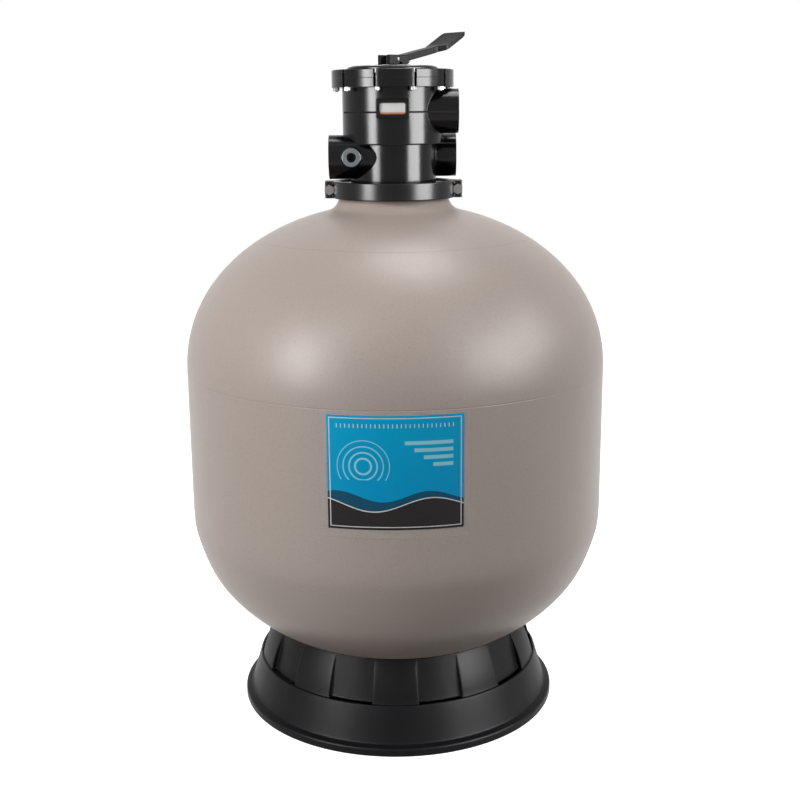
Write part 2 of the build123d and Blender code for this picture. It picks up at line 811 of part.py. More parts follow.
with BuildPart() as rotor:
    with BuildSketch(Plane.XY.offset(rotor_low)):
        Circle(rotor_radius)
    extrude(amount=rotor_height)
    with BuildSketch(Plane.XY.offset(rotor_top)):
        Circle(rotor_hub_radius)
    extrude(amount=rotor_hub_height)
    # One sector is open from above; two neighbours share a recess with the centre
    with BuildSketch(Plane.XY.offset(rotor_low)):
        add(ring_sector(deck_window_inner, deck_window_outer, rotor_window_start, rotor_window_arc))
    extrude(amount=rotor_height, mode=Mode.SUBTRACT)
    with BuildSketch(Plane.XY.offset(rotor_low)):
        Circle(pipe_bore)
        add(ring_sector(rotor_recess_inner, deck_window_outer, rotor_recess_starts[0], rotor_recess_arc))
        with PolarLocations(deck_window_inner / 2, 1, start_angle=rotor_link_turn):
            Rectangle(deck_window_inner, rotor_link_width)
        add(ring_sector(deck_window_inner, deck_window_outer, rotor_recess_starts[1], rotor_recess_arc))
    extrude(amount=rotor_recess_depth, mode=Mode.SUBTRACT)
    with BuildSketch(Plane.XY.offset(rotor_hub_top)):
        Circle(stem_radius)
    extrude(amount=-(rotor_hub_top - stem_foot), mode=Mode.SUBTRACT)
rotor.part.label = "rotor"
export_step(rotor.part, "parts/rotor.step")

stem_top = pin_height + stem_top_over_pin
stem_shoulder = washer_top - stem_tongue_drop

with BuildPart() as stem:
    with BuildSketch(Plane.XY.offset(stem_foot)):
        Circle(stem_radius)
    extrude(amount=stem_shoulder - stem_foot)
    with BuildSketch(Plane.XY.offset(stem_shoulder)):
        Circle(stem_radius)
        Rectangle(2 * stem_radius, stem_flats, rotation=handle_angle, mode=Mode.INTERSECT)
    extrude(amount=stem_top - stem_shoulder)
    for seal_height in stem_seal_heights:
        with BuildSketch(Plane.XY.offset(seal_height - stem_seal_width / 2)):
            Circle(stem_radius)
            Circle(stem_radius - stem_seal_depth, mode=Mode.SUBTRACT)
        extrude(amount=stem_seal_width, mode=Mode.SUBTRACT)
    with BuildSketch(handle_plane):
        Circle(pin_radius)
    extrude(amount=stem_radius, both=True, mode=Mode.SUBTRACT)
stem.part.label = "stem"
export_step(stem.part, "parts/stem.step")

with BuildPart() as stem_orings:
    for seal_height in stem_seal_heights:
        stem_seal_middle = stem_bore - running_clearance / 2 - stem_seal_depth / 2
        add(squeezed_ring(stem_seal_middle, stem_seal_depth, stem_seal_width, seal_height))
stem_orings.part.label = "stem_orings"
export_step(stem_orings.part, "parts/stem_orings.step")

with BuildPart() as handle_pin:
    with BuildSketch(handle_plane):
        Circle(pin_radius)
    extrude(amount=hub_width / 2, both=True)
    chamfer(handle_pin.edges().filter_by(GeomType.CIRCLE), length=pin_edge)
handle_pin.part.label = "handle_pin"
export_step(handle_pin.part, "parts/handle_pin.step")

spring_low = rotor_hub_top
spring_length = spring_high - spring_low

with BuildPart() as rotor_spring:
    with BuildLine(Plane.XY.offset(spring_low)):
        coil = Helix(pitch=spring_length / spring_turns, height=spring_length, radius=spring_radius)
    with BuildSketch(Plane(origin=coil @ 0, z_dir=coil % 0)):
        Circle(spring_wire)
    sweep(path=coil, is_frenet=True)
    # Ground ends
    with BuildSketch(Plane.XY.offset(spring_low)):
        Circle(spring_radius + 2 * spring_wire)
    extrude(amount=spring_length, mode=Mode.INTERSECT)
rotor_spring.part.label = "rotor_spring"
export_step(rotor_spring.part, "parts/rotor_spring.step")

with BuildPart() as spring_washer:
    with BuildSketch(Plane.XY.offset(spring_high)):
        Circle(spring_washer_radius)
        Circle(spring_washer_bore, mode=Mode.SUBTRACT)
    extrude(amount=spring_washer_thickness)
spring_washer.part.label = "spring_washer"
export_step(spring_washer.part, "parts/spring_washer.step")

with BuildPart() as handle_washer:
    with BuildSketch(Plane.XY.offset(lid_boss_top)):
        Circle(washer_radius)
        Circle(washer_bore, mode=Mode.SUBTRACT)
    extrude(amount=washer_thickness)
handle_washer.part.label = "handle_washer"
export_step(handle_washer.part, "parts/handle_washer.step")

# ---------------------------------------------------------------- handle

arm_turn = radians(arm_rise)
paddle_turn = radians(paddle_rise)
arm_middle = hub_top - arm_thickness / 2
bend = (arm_reach, arm_middle + (arm_reach - arm_start) * tan(arm_turn))
tip = (bend[0] + paddle_length * cos(paddle_turn), bend[1] + paddle_length * sin(paddle_turn))

with BuildPart() as handle:
    with BuildSketch(handle_plane):
        with Locations((cam_offset, 0)):
            Circle(cam_radius)
        with Locations((cam_offset, cam_radius)):
            Rectangle(3 * cam_radius, 2 * (cam_radius - hub_top) + cam_radius, mode=Mode.SUBTRACT)
        with Locations(((cam_offset - hub_back) / 2, (hub_top - hub_foot) / 2)):
            Rectangle(cam_offset + hub_back, hub_top + hub_foot)
        with Locations((notch_offset, -hub_foot)):
            Circle(notch_radius, mode=Mode.SUBTRACT)
        with BuildLine():
            Polyline(
                (cam_offset, hub_top),
                (arm_start, hub_top),
                (bend[0] - arm_thickness / 4, bend[1] + arm_thickness / 2),
                (tip[0] - paddle_thickness / 4, tip[1] + paddle_thickness / 2),
                (tip[0] + paddle_thickness / 4, tip[1] - paddle_thickness / 2),
                (bend[0] + arm_thickness / 4, bend[1] - arm_thickness / 2),
                (cam_offset + cam_radius / 2, arm_middle - arm_thickness / 2),
                (cam_offset, -cam_radius / 2),
                close=True,
            )
        make_face()
    extrude(amount=paddle_width / 2, both=True)
    with BuildSketch(Plane.XY.rotated((0, 0, handle_angle)).offset(pin_height - 2 * hub_foot)):
        with Locations(((cheek_reach - hub_back) / 2, 0)):
            Rectangle(cheek_reach + hub_back, hub_width)
        with Locations((arm_reach / 2, 0)):
            Rectangle(arm_reach, arm_width)
        with BuildLine():
            Polyline(
                (arm_reach - paddle_flare, arm_width / 2),
                (arm_reach + paddle_flare, paddle_width / 2),
                (tip[0], paddle_width / 2),
                (tip[0], -paddle_width / 2),
                (arm_reach + paddle_flare, -paddle_width / 2),
                (arm_reach - paddle_flare, -arm_width / 2),
                close=True,
            )
        make_face()
    extrude(amount=4 * hub_foot + tip[1] + paddle_thickness, mode=Mode.INTERSECT)
    # Slot for the stem, open at the back of the hub
    with BuildSketch(Plane.XY.rotated((0, 0, handle_angle)).offset(pin_height - 2 * hub_foot)):
        with Locations(((fork_depth - 2 * hub_back) / 2, 0)):
            Rectangle(fork_depth + 2 * hub_back, fork_slot)
    extrude(amount=4 * hub_foot, mode=Mode.SUBTRACT)
    with BuildSketch(handle_plane):
        Circle(pin_radius + running_clearance)
    extrude(amount=hub_width, both=True, mode=Mode.SUBTRACT)
handle.part.label = "handle"
export_step(handle.part, "parts/handle.step")

# ---------------------------------------------------------------- inside the tank

lateral_start = hub_radius - lateral_socket_depth

with BuildPart() as standpipe:
    with BuildSketch(Plane.XY.offset(hub_high - hub_socket_depth)):
        Circle(pipe_radius)
        Circle(pipe_bore, mode=Mode.SUBTRACT)
    extrude(amount=pipe_socket_top - hub_high + hub_socket_depth)
standpipe.part.label = "standpipe"
export_step(standpipe.part, "parts/standpipe.step")

with BuildPart() as lateral_hub:
    with BuildSketch(Plane.XY.offset(hub_low)):
        Circle(hub_radius)
    extrude(amount=hub_high - hub_low)
    chamfer(lateral_hub.edges().sort_by(Axis.Z)[0], length=hub_chamfer)
    with BuildSketch(Plane.XY.offset(hub_high)):
        Circle(pipe_radius + pipe_clearance)
    extrude(amount=-hub_socket_depth, mode=Mode.SUBTRACT)
    with BuildSketch(Plane.XY.offset(hub_high)):
        Circle(pipe_bore)
    extrude(amount=-(hub_high - lateral_height + lateral_radius), mode=Mode.SUBTRACT)
    for lateral in range(lateral_count):
        lateral_plane = Plane.YZ.rotated((0, 0, lateral * 360 / lateral_count))
        with BuildSketch(lateral_plane.offset(lateral_start)):
            with Locations((0, lateral_height)):
                Circle(lateral_radius)
        extrude(amount=lateral_socket_depth + lateral_radius, mode=Mode.SUBTRACT)
        with BuildSketch(lateral_plane.offset(pipe_bore / 2)):
            with Locations((0, lateral_height)):
                Circle(lateral_bore)
        extrude(amount=hub_radius, mode=Mode.SUBTRACT)
lateral_hub.part.label = "lateral_hub"
export_step(lateral_hub.part, "parts/lateral_hub.step")

with BuildPart() as laterals:
    for lateral in range(lateral_count):
        turn = lateral * 360 / lateral_count
        lateral_plane = Plane.YZ.rotated((0, 0, turn))
        with BuildSketch(lateral_plane.offset(lateral_start)):
            with Locations((0, lateral_height)):
                Circle(lateral_radius)
        extrude(amount=lateral_end - lateral_start)
        with BuildSketch(lateral_plane.offset(lateral_start)):
            with Locations((0, lateral_height)):
                Circle(lateral_bore)
        extrude(amount=lateral_end - lateral_start - lateral_radius / 2, mode=Mode.SUBTRACT)
        for slot in range(lateral_slots):
            slot_at = lateral_slot_start + slot * lateral_slot_pitch
            with BuildSketch(lateral_plane.offset(slot_at)):
                with Locations((0, lateral_height - lateral_radius)):
                    Rectangle(2 * lateral_radius, 2 * lateral_slot_depth)
            extrude(amount=lateral_slot_width, mode=Mode.SUBTRACT)
laterals.part.label = "laterals"
export_step(laterals.part, "parts/laterals.step")

with BuildPart() as top_diffuser:
    with BuildSketch(Plane.XY.offset(diffuser_low)):
        Circle(diffuser_radius)
    extrude(amount=joint_height - diffuser_low)
    with BuildSketch(Plane.XY.offset(diffuser_low + diffuser_wall)):
        Circle(diffuser_radius - diffuser_wall)
    extrude(amount=joint_height - diffuser_low, mode=Mode.SUBTRACT)
    with BuildSketch(Plane.XY.offset(diffuser_low)):
        Circle(pipe_radius + pipe_clearance)
    extrude(amount=diffuser_wall, mode=Mode.SUBTRACT)
    with BuildSketch(Plane.XY.offset(diffuser_window_low)):
        with PolarLocations(diffuser_radius, diffuser_windows):
            Rectangle(4 * diffuser_wall, diffuser_window_width)
    extrude(amount=diffuser_window_tall, mode=Mode.SUBTRACT)
top_diffuser.part.label = "top_diffuser"
export_step(top_diffuser.part, "parts/top_diffuser.step")

# ---------------------------------------------------------------- drain

drain_spigot_tail = drain_pad_in + drain_nut_height + drain_tail

with BuildPart() as drain_gasket_ring:
    with BuildSketch(drain_plane.offset(drain_pad_out)):
        Circle(drain_flange_radius)
        Circle(drain_bore, mode=Mode.SUBTRACT)
    extrude(amount=drain_gasket)
drain_gasket_ring.part.label = "drain_gasket"
export_step(drain_gasket_ring.part, "parts/drain_gasket.step")

drain_flange_face = drain_pad_out + drain_gasket

with BuildPart() as drain_spigot:
    with BuildSketch(drain_plane.offset(-drain_spigot_tail)):
        Circle(drain_spigot_radius)
    extrude(amount=drain_spigot_tail + drain_flange_face)
    with BuildSketch(drain_plane.offset(drain_flange_face)):
        Circle(drain_flange_radius)
    extrude(amount=drain_flange)
    with BuildSketch(drain_plane.offset(drain_flange_face + drain_flange)):
        Circle(drain_spigot_radius)
    extrude(amount=drain_thread)
    with BuildSketch(drain_plane.offset(-drain_spigot_tail)):
        Circle(drain_passage)
    extrude(amount=drain_spigot_tail + drain_flange_face + drain_flange + drain_thread, mode=Mode.SUBTRACT)
drain_spigot.part.label = "drain_spigot"
export_step(drain_spigot.part, "parts/drain_spigot.step")

with BuildPart() as drain_nut:
    with BuildSketch(drain_plane.offset(-drain_pad_in)):
        RegularPolygon(drain_nut_flats / 2, 6, major_radius=False)
        Circle(drain_spigot_radius, mode=Mode.SUBTRACT)
    extrude(amount=-drain_nut_height)
drain_nut.part.label = "drain_nut"
export_step(drain_nut.part, "parts/drain_nut.step")

cap_seat = drain_flange_face + drain_flange + drain_thread
cap_foot = drain_flange_face + drain_flange + drain_cap_gap
cap_depth = drain_thread - drain_cap_gap + cap_seal_thickness

with BuildPart() as drain_cap:
    with BuildSketch(drain_plane.offset(cap_foot)):
        Circle(drain_cap_radius)
    extrude(amount=cap_depth + drain_cap_roof)
    with BuildSketch(drain_plane.offset(cap_foot)):
        Circle(drain_spigot_radius)
    extrude(amount=cap_depth, mode=Mode.SUBTRACT)
    with BuildSketch(drain_plane.offset(cap_foot)):
        with PolarLocations(drain_cap_radius, drain_cap_grips):
            Rectangle(drain_grip_width, drain_grip_depth)
    extrude(amount=cap_depth + drain_cap_roof - drain_grip_short)
drain_cap.part.label = "drain_cap"
export_step(drain_cap.part, "parts/drain_cap.step")

with BuildPart() as drain_cap_seal:
    with BuildSketch(drain_plane.offset(cap_seat)):
        Circle(drain_spigot_radius)
        Circle(drain_passage, mode=Mode.SUBTRACT)
    extrude(amount=cap_seal_thickness)
drain_cap_seal.part.label = "drain_cap_seal"
export_step(drain_cap_seal.part, "parts/drain_cap_seal.step")

# ---------------------------------------------------------------- front label

label_half_angle = degrees(label_width / 2 / tank_radius)
label_radius = tank_radius + label_thickness

with BuildPart() as front_label:
    with BuildSketch(Plane.XY.offset(label_low)):
        add(ring_sector(tank_radius, label_radius, -90 - label_half_angle, 2 * label_half_angle))
    extrude(amount=label_high - label_low)
front_label.part.label = "front_label"
export_step(front_label.part, "parts/front_label.step")
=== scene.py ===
# %% [markdown]
# # A pool sand filter in Blender
#
# The object is a domed resin tank on a black base ring, with a six-position valve clamped
# on its neck. The construction model already gives every piece its true size, so it is
# loaded first as a fixed frame. Everything below is placed from that frame, in metres:
# Z is up, the front faces -Y, and the ports lie along X.

# %% Load the frame
import json
import math

import bpy
from mathutils import Matrix, Vector


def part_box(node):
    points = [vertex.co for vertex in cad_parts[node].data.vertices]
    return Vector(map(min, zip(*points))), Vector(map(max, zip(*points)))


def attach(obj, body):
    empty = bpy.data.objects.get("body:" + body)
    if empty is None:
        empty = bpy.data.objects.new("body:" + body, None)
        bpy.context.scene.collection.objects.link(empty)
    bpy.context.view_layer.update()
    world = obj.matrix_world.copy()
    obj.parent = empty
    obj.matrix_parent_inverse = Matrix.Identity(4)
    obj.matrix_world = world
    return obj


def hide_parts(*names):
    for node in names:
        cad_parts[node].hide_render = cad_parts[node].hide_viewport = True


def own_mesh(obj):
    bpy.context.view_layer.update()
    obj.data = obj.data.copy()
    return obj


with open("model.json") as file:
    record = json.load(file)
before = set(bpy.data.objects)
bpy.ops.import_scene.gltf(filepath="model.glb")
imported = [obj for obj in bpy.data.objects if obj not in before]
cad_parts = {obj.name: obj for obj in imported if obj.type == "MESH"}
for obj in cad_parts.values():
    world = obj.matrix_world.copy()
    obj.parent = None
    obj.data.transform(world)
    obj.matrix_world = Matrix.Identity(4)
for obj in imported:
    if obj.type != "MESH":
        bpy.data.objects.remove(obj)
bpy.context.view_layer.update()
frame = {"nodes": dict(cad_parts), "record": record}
nodes = frame["nodes"]
for plain in list(bpy.data.materials):
    bpy.data.materials.remove(plain)

# %% [markdown]
# ## Camera and stage
#
# The camera stands at about the height of the valve and looks a little down, so the floor
# and the top of the lid both show. A long-ish lens keeps the tank's sides nearly straight.
# The floor is a plain pale sheet. The world is white to the eye and in reflections, and
# much dimmer as a source of light, so that the lamps shape the tank.

# %% Camera
CAMERA_PLACE = (0.0065, -1.786, 0.880)
CAMERA_TILT = 13.36
CAMERA_ROLL = -0.50
LENS = 55.17

camera_data = bpy.data.cameras.new("camera")
camera_data.lens = LENS
camera_data.sensor_width = 36.0
camera_data.clip_end = 50.0
camera = bpy.data.objects.new("camera", camera_data)
bpy.context.scene.collection.objects.link(camera)
roll = Matrix.Rotation(math.radians(CAMERA_ROLL), 4, "Z")
tilt = Matrix.Rotation(math.radians(90.0 - CAMERA_TILT), 4, "X")
camera.matrix_world = Matrix.Translation(CAMERA_PLACE) @ tilt @ roll
bpy.context.scene.camera = camera
print("camera:", LENS, "mm lens, tilted down", CAMERA_TILT, "degrees")

# %% Small helpers for materials


def new_material(name):
    """An empty material with its Principled shader, both ready to be wired."""
    material = bpy.data.materials.new(name)
    material.use_nodes = True
    return material, material.node_tree, material.node_tree.nodes["Principled BSDF"]


def node(tree, kind, **settings):
    """A node of a kind, with its settings; a link joins an output to an input."""
    made = tree.nodes.new(kind)
    for setting, value in settings.items():
        setattr(made, setting, value)
    return made


def math_node(tree, operation, first, second=None, third=None):
    """A Math node; each operand is a number or another node's output."""
    made = node(tree, "ShaderNodeMath", operation=operation)
    for place, operand in enumerate((first, second, third)):
        if operand is None:
            continue
        if isinstance(operand, (int, float)):
            made.inputs[place].default_value = operand
        else:
            tree.links.new(operand, made.inputs[place])
    return made.outputs[0]


def deselect():
    """Operators act on all that is selected, so nothing is left selected before a new piece."""
    bpy.ops.object.select_all(action="DESELECT")


print("helpers: new_material, node, math_node, deselect")

# %% Floor and world
FLOOR_SIZE = 14.0
FLOOR_SEEN = (0.62, 0.62, 0.62, 1)
FLOOR_BOUNCE = (0.06, 0.06, 0.06, 1)
FLOOR_GLOW = 0.90
AMBIENT = 0.12


def seen_directly(tree):
    """1 for rays from the eye, from a reflection or through glass, else 0."""
    rays = node(tree, "ShaderNodeLightPath")
    straight = math_node(tree, "MAXIMUM", rays.outputs["Is Camera Ray"], rays.outputs["Is Glossy Ray"])
    return math_node(tree, "MAXIMUM", straight, rays.outputs["Is Transmission Ray"])


deselect()
bpy.ops.mesh.primitive_plane_add(size=FLOOR_SIZE, location=(0, 0, 0))
floor = bpy.context.object
floor.name = "floor"
floor_finish, floor_tree, floor_shader = new_material("pale_floor")
floor_shader.inputs["Roughness"].default_value = 0.8
floor_shader.inputs["Specular IOR Level"].default_value = 0.1
floor_shader.inputs["Emission Color"].default_value = (1, 1, 1, 1)
direct = seen_directly(floor_tree)
paper = node(floor_tree, "ShaderNodeMix", data_type="RGBA")
paper.inputs[6].default_value = FLOOR_BOUNCE
paper.inputs[7].default_value = FLOOR_SEEN
floor_tree.links.new(direct, paper.inputs[0])
floor_tree.links.new(paper.outputs[2], floor_shader.inputs["Base Color"])
floor_glow = math_node(floor_tree, "MULTIPLY", direct, FLOOR_GLOW)
floor_tree.links.new(floor_glow, floor_shader.inputs["Emission Strength"])
floor.data.materials.append(floor_finish)

world = bpy.data.worlds.new("studio")
bpy.context.scene.world = world
world.use_nodes = True
sky = world.node_tree
background = sky.nodes["Background"]
background.inputs["Color"].default_value = (1, 1, 1, 1)
strength = node(sky, "ShaderNodeMapRange")
strength.inputs["To Min"].default_value = AMBIENT
strength.inputs["To Max"].default_value = 1.0
sky.links.new(seen_directly(sky), strength.inputs["Value"])
sky.links.new(strength.outputs["Result"], background.inputs["Strength"])
bpy.context.scene.view_settings.view_transform = "Standard"
print("stage: floor", FLOOR_SIZE, "m wide, ambient", AMBIENT)

# %% [markdown]
# ## Lamps
#
# Two tall soft boxes stand left and right of the camera. Gloss on a round black valve
# shows them as upright bands, so their width and place set the width and place of those
# bands. Two smaller boxes stand higher behind them and fill the dome.
#
# The satin tank and the black valve need different strengths, so a lamp can do one job
# alone. `fill=False` gives only highlights: two sheens draw the soft spots on the tank's
# shoulders, a top sheen the one below the neck, and two strips the bands on the valve.
# `gloss=False` gives only light: the back fill lifts the side away from the camera.

# %% Soft boxes


def soft_box(name, bearing, rise, distance, width, tall, power, aim_height, gloss=True, fill=True):
    """An area lamp at a bearing from the front (+ is right) and a rise, aimed at the tank's axis."""
    lamp_data = bpy.data.lights.new(name, "AREA")
    lamp_data.shape = "RECTANGLE"
    lamp_data.size = width
    lamp_data.size_y = tall
    lamp_data.energy = power
    lamp = bpy.data.objects.new(name, lamp_data)
    bpy.context.scene.collection.objects.link(lamp)
    turn = math.radians(bearing)
    lift = math.radians(rise)
    away = Vector((math.sin(turn) * math.cos(lift), -math.cos(turn) * math.cos(lift), math.sin(lift)))
    place = Vector((0, 0, aim_height)) + distance * away
    lamp.matrix_world = Matrix.Translation(place) @ away.to_track_quat("Z", "Y").to_matrix().to_4x4()
    lamp.visible_glossy = gloss
    lamp.visible_diffuse = fill
    lamp.visible_camera = False
    return lamp


soft_box("left_box", -52, 21, 2.4, 0.90, 1.40, 33, 0.60)
soft_box("left_high_box", -28, 44, 2.4, 0.80, 0.80, 8, 0.60)
soft_box("right_box", 82, 24, 2.4, 0.80, 1.20, 25, 0.60)
soft_box("right_high_box", 44, 45, 2.4, 0.80, 0.80, 5, 0.60)
soft_box("left_sheen", -47, 9, 2.0, 0.70, 1.1, 25, 0.87, fill=False)
soft_box("right_sheen", 55, 8, 2.0, 1.30, 1.1, 48, 0.87, fill=False)
soft_box("top_sheen", 135, 80, 2.2, 1.20, 1.00, 42, 0.80, fill=False)
soft_box("back_fill", 180, 30, 3.0, 2.40, 1.60, 42, 0.60, gloss=False)
valve_strips = (
    soft_box("left_strip", -46, 0, 2.0, 0.64, 1.3, 70, 0.87, fill=False),
    soft_box("right_strip", 57, 0, 2.0, 1.15, 1.3, 130, 0.87, fill=False),
)


# %% [markdown]
# ## Effects that several finishes share
#
# Real mouldings are never one flat value. Five effects come back in almost every finish
# here, so each is a node group, built once and placed with its own values:
# - `colour_drift` lets a colour wander a little over the surface, as pigment does;
# - `fine_grain` is the tiny relief that a tool leaves, for a Bump node;
# - `uneven_gloss` varies roughness, because handling and dust dull a shine in patches;
# - one group finds edges, where a rounded normal leaves the true one, and lightens them, partly as rubbing
#   and dust and partly as a painted highlight;
# - `specks` scatters small dots of a second colour.

# %% Node groups


def new_group(name, inputs, outputs):
    """A shader node group; inputs are (name, kind, default) and outputs are (name, kind)."""
    group = bpy.data.node_groups.new(name, "ShaderNodeTree")
    for label, kind, default in inputs:
        socket = group.interface.new_socket(label, in_out="INPUT", socket_type="NodeSocket" + kind)
        socket.default_value = default
    for label, kind in outputs:
        group.interface.new_socket(label, in_out="OUTPUT", socket_type="NodeSocket" + kind)
    return group, node(group, "NodeGroupInput"), node(group, "NodeGroupOutput")


def noise(tree, scale, detail=3.0, roughness=0.5, stretch=(1, 1, 1)):
    """A noise texture on object coordinates, with its scale a number or an output."""
    coordinates = node(tree, "ShaderNodeTexCoord")
    mapping = node(tree, "ShaderNodeMapping")
    mapping.inputs["Scale"].default_value = stretch
    tree.links.new(coordinates.outputs["Object"], mapping.inputs["Vector"])
    texture = node(tree, "ShaderNodeTexNoise")
    tree.links.new(mapping.outputs["Vector"], texture.inputs["Vector"])
    if isinstance(scale, (int, float)):
        texture.inputs["Scale"].default_value = scale
    else:
        tree.links.new(scale, texture.inputs["Scale"])
    texture.inputs["Detail"].default_value = detail
    texture.inputs["Roughness"].default_value = roughness
    return texture.outputs["Fac"]


def mix_colour(tree, factor, first, second, blend="MIX"):
    """A colour Mix node; each colour is an output or four numbers."""
    made = node(tree, "ShaderNodeMix", data_type="RGBA", blend_type=blend)
    for place, operand in ((0, factor), (6, first), (7, second)):
        if isinstance(operand, (int, float, tuple)):
            made.inputs[place].default_value = operand
        else:
            tree.links.new(operand, made.inputs[place])
    return made.outputs[2]


# Colour drift: the colour times a value that wanders around 1
drift, drift_in, drift_out = new_group(
    "colour_drift",
    [("Colour", "Color", (0.5, 0.5, 0.5, 1)), ("Amount", "Float", 0.08), ("Scale", "Float", 6.0)],
    [("Colour", "Color")],
)
wander = math_node(drift, "SUBTRACT", noise(drift, drift_in.outputs["Scale"]), 0.5)
gain = math_node(drift, "MULTIPLY_ADD", wander, drift_in.outputs["Amount"], 1.0)
scaled = node(drift, "ShaderNodeVectorMath", operation="SCALE")
drift.links.new(drift_in.outputs["Colour"], scaled.inputs[0])
drift.links.new(gain, scaled.inputs["Scale"])
drift.links.new(scaled.outputs[0], drift_out.inputs["Colour"])

# Fine grain: two sizes of noise, one four times finer
grain, grain_in, grain_out = new_group(
    "fine_grain", [("Scale", "Float", 900.0), ("Depth", "Float", 1.0)], [("Height", "Float")]
)
finer = math_node(grain, "MULTIPLY", grain_in.outputs["Scale"], 4.0)
relief = math_node(grain, "MULTIPLY_ADD", noise(grain, finer), 0.4, noise(grain, grain_in.outputs["Scale"]))
grain.links.new(math_node(grain, "MULTIPLY", relief, grain_in.outputs["Depth"]), grain_out.inputs["Height"])

# Uneven gloss: roughness that varies in soft patches and fine smears
gloss, gloss_in, gloss_out = new_group(
    "uneven_gloss",
    [("Roughness", "Float", 0.3), ("Amount", "Float", 0.1), ("Scale", "Float", 25.0)],
    [("Roughness", "Float")],
)
patches = math_node(gloss, "SUBTRACT", noise(gloss, gloss_in.outputs["Scale"], 5.0, 0.65), 0.5)
rough = math_node(gloss, "MULTIPLY_ADD", patches, gloss_in.outputs["Amount"], gloss_in.outputs["Roughness"])
gloss.links.new(rough, gloss_out.inputs["Roughness"])

# Lighter edges, partly rubbing and dust and partly a painted highlight: a mask where the rounded normal
# leaves the true one, and the colour it gives
wear_and_sheen, wear_and_sheen_in, wear_and_sheen_out = new_group(
    "edge_wear_and_sheen",
    [
        ("Rounded Normal", "Vector", (0, 0, 1)),
        ("Colour", "Color", (0.5, 0.5, 0.5, 1)),
        ("Edge Colour", "Color", (0.8, 0.8, 0.8, 1)),
        ("Amount", "Float", 0.5),
    ],
    [("Colour", "Color"), ("Mask", "Float")],
)
true_normal = node(wear_and_sheen, "ShaderNodeNewGeometry")
agreement = node(wear_and_sheen, "ShaderNodeVectorMath", operation="DOT_PRODUCT")
wear_and_sheen.links.new(true_normal.outputs["Normal"], agreement.inputs[0])
wear_and_sheen.links.new(wear_and_sheen_in.outputs["Rounded Normal"], agreement.inputs[1])
bent = math_node(wear_and_sheen, "SUBTRACT", 1.0, agreement.outputs["Value"])
edge = node(wear_and_sheen, "ShaderNodeMapRange", interpolation_type="SMOOTHSTEP")
edge.inputs["From Min"].default_value = 0.02
edge.inputs["From Max"].default_value = 0.28
wear_and_sheen.links.new(bent, edge.inputs["Value"])
broken = math_node(wear_and_sheen, "MULTIPLY", edge.outputs["Result"], noise(wear_and_sheen, 120.0, 4.0, 0.7))
mask = math_node(wear_and_sheen, "MULTIPLY", broken, wear_and_sheen_in.outputs["Amount"])
worn_and_sheened = mix_colour(wear_and_sheen, mask, wear_and_sheen_in.outputs["Colour"], wear_and_sheen_in.outputs["Edge Colour"])
wear_and_sheen.links.new(worn_and_sheened, wear_and_sheen_out.inputs["Colour"])
wear_and_sheen.links.new(mask, wear_and_sheen_out.inputs["Mask"])

# Specks: dots of a second colour, where a fine noise passes a threshold
specks, specks_in, specks_out = new_group(
    "specks",
    [
        ("Colour", "Color", (0.5, 0.5, 0.5, 1)),
        ("Speck Colour", "Color", (0.2, 0.2, 0.2, 1)),
        ("Scale", "Float", 500.0),
        ("Threshold", "Float", 0.6),
        ("Amount", "Float", 0.5),
    ],
    [("Colour", "Color")],
)
dots = node(specks, "ShaderNodeMapRange", interpolation_type="SMOOTHSTEP")
specks.links.new(noise(specks, specks_in.outputs["Scale"], 1.0), dots.inputs["Value"])
specks.links.new(specks_in.outputs["Threshold"], dots.inputs["From Min"])
specks.links.new(math_node(specks, "ADD", specks_in.outputs["Threshold"], 0.08), dots.inputs["From Max"])
dotted = math_node(specks, "MULTIPLY", dots.outputs["Result"], specks_in.outputs["Amount"])
spotted = mix_colour(specks, dotted, specks_in.outputs["Colour"], specks_in.outputs["Speck Colour"])
specks.links.new(spotted, specks_out.inputs["Colour"])

groups = {"drift": drift, "grain": grain, "gloss": gloss, "wear_and_sheen": wear_and_sheen, "specks": specks}
print("node groups:", ", ".join(group.name for group in groups.values()))

# %% Placing a group in a material


def place_group(tree, key, **values):
    """A group node in a material. Each value is a number, a colour or another node's output."""
    made = node(tree, "ShaderNodeGroup", node_tree=groups[key])
    for label, value in values.items():
        socket = made.inputs[label.replace("_", " ")]
        if isinstance(value, bpy.types.NodeSocket):
            tree.links.new(value, socket)
        else:
            socket.default_value = value
    return made


def bump(tree, shader, height, distance, strength=1.0, rounded=None):
    """A Bump node on the shader's normal, over a rounded normal if one is given."""
    made = node(tree, "ShaderNodeBump")
    made.inputs["Distance"].default_value = distance
    made.inputs["Strength"].default_value = strength
    tree.links.new(height, made.inputs["Height"])
    if rounded:
        tree.links.new(rounded, made.inputs["Normal"])
    tree.links.new(made.outputs["Normal"], shader.inputs["Normal"])


def set_shader(shader, **values):
    """Plain values on the shader's own sockets."""
    for label, value in values.items():
        shader.inputs[label.replace("_", " ")].default_value = value


print("helpers: place_group, bump, set_shader")

# %% [markdown]
# ## Tank skin
#
# The tank is moulded in a grey-brown resin with a satin skin. Up close it has a very fine
# orange-peel relief and faint darker specks; from a step away only the broad, soft shine
# shows. Two parting lines of the tool ring it, one where the dome meets the straight wall
# and one high on the dome. They are too shallow to be worth geometry, so they are a small
# step in the bump, found by height in object coordinates.

# %% Tank skin
TANK_COLOUR = (0.46, 0.385, 0.345, 1)
TANK_SPECK = (0.30, 0.25, 0.22, 1)
WALL_TOP = 0.514
DOME_LINE = 0.699
LINE_HALF_WIDTH = 0.0012


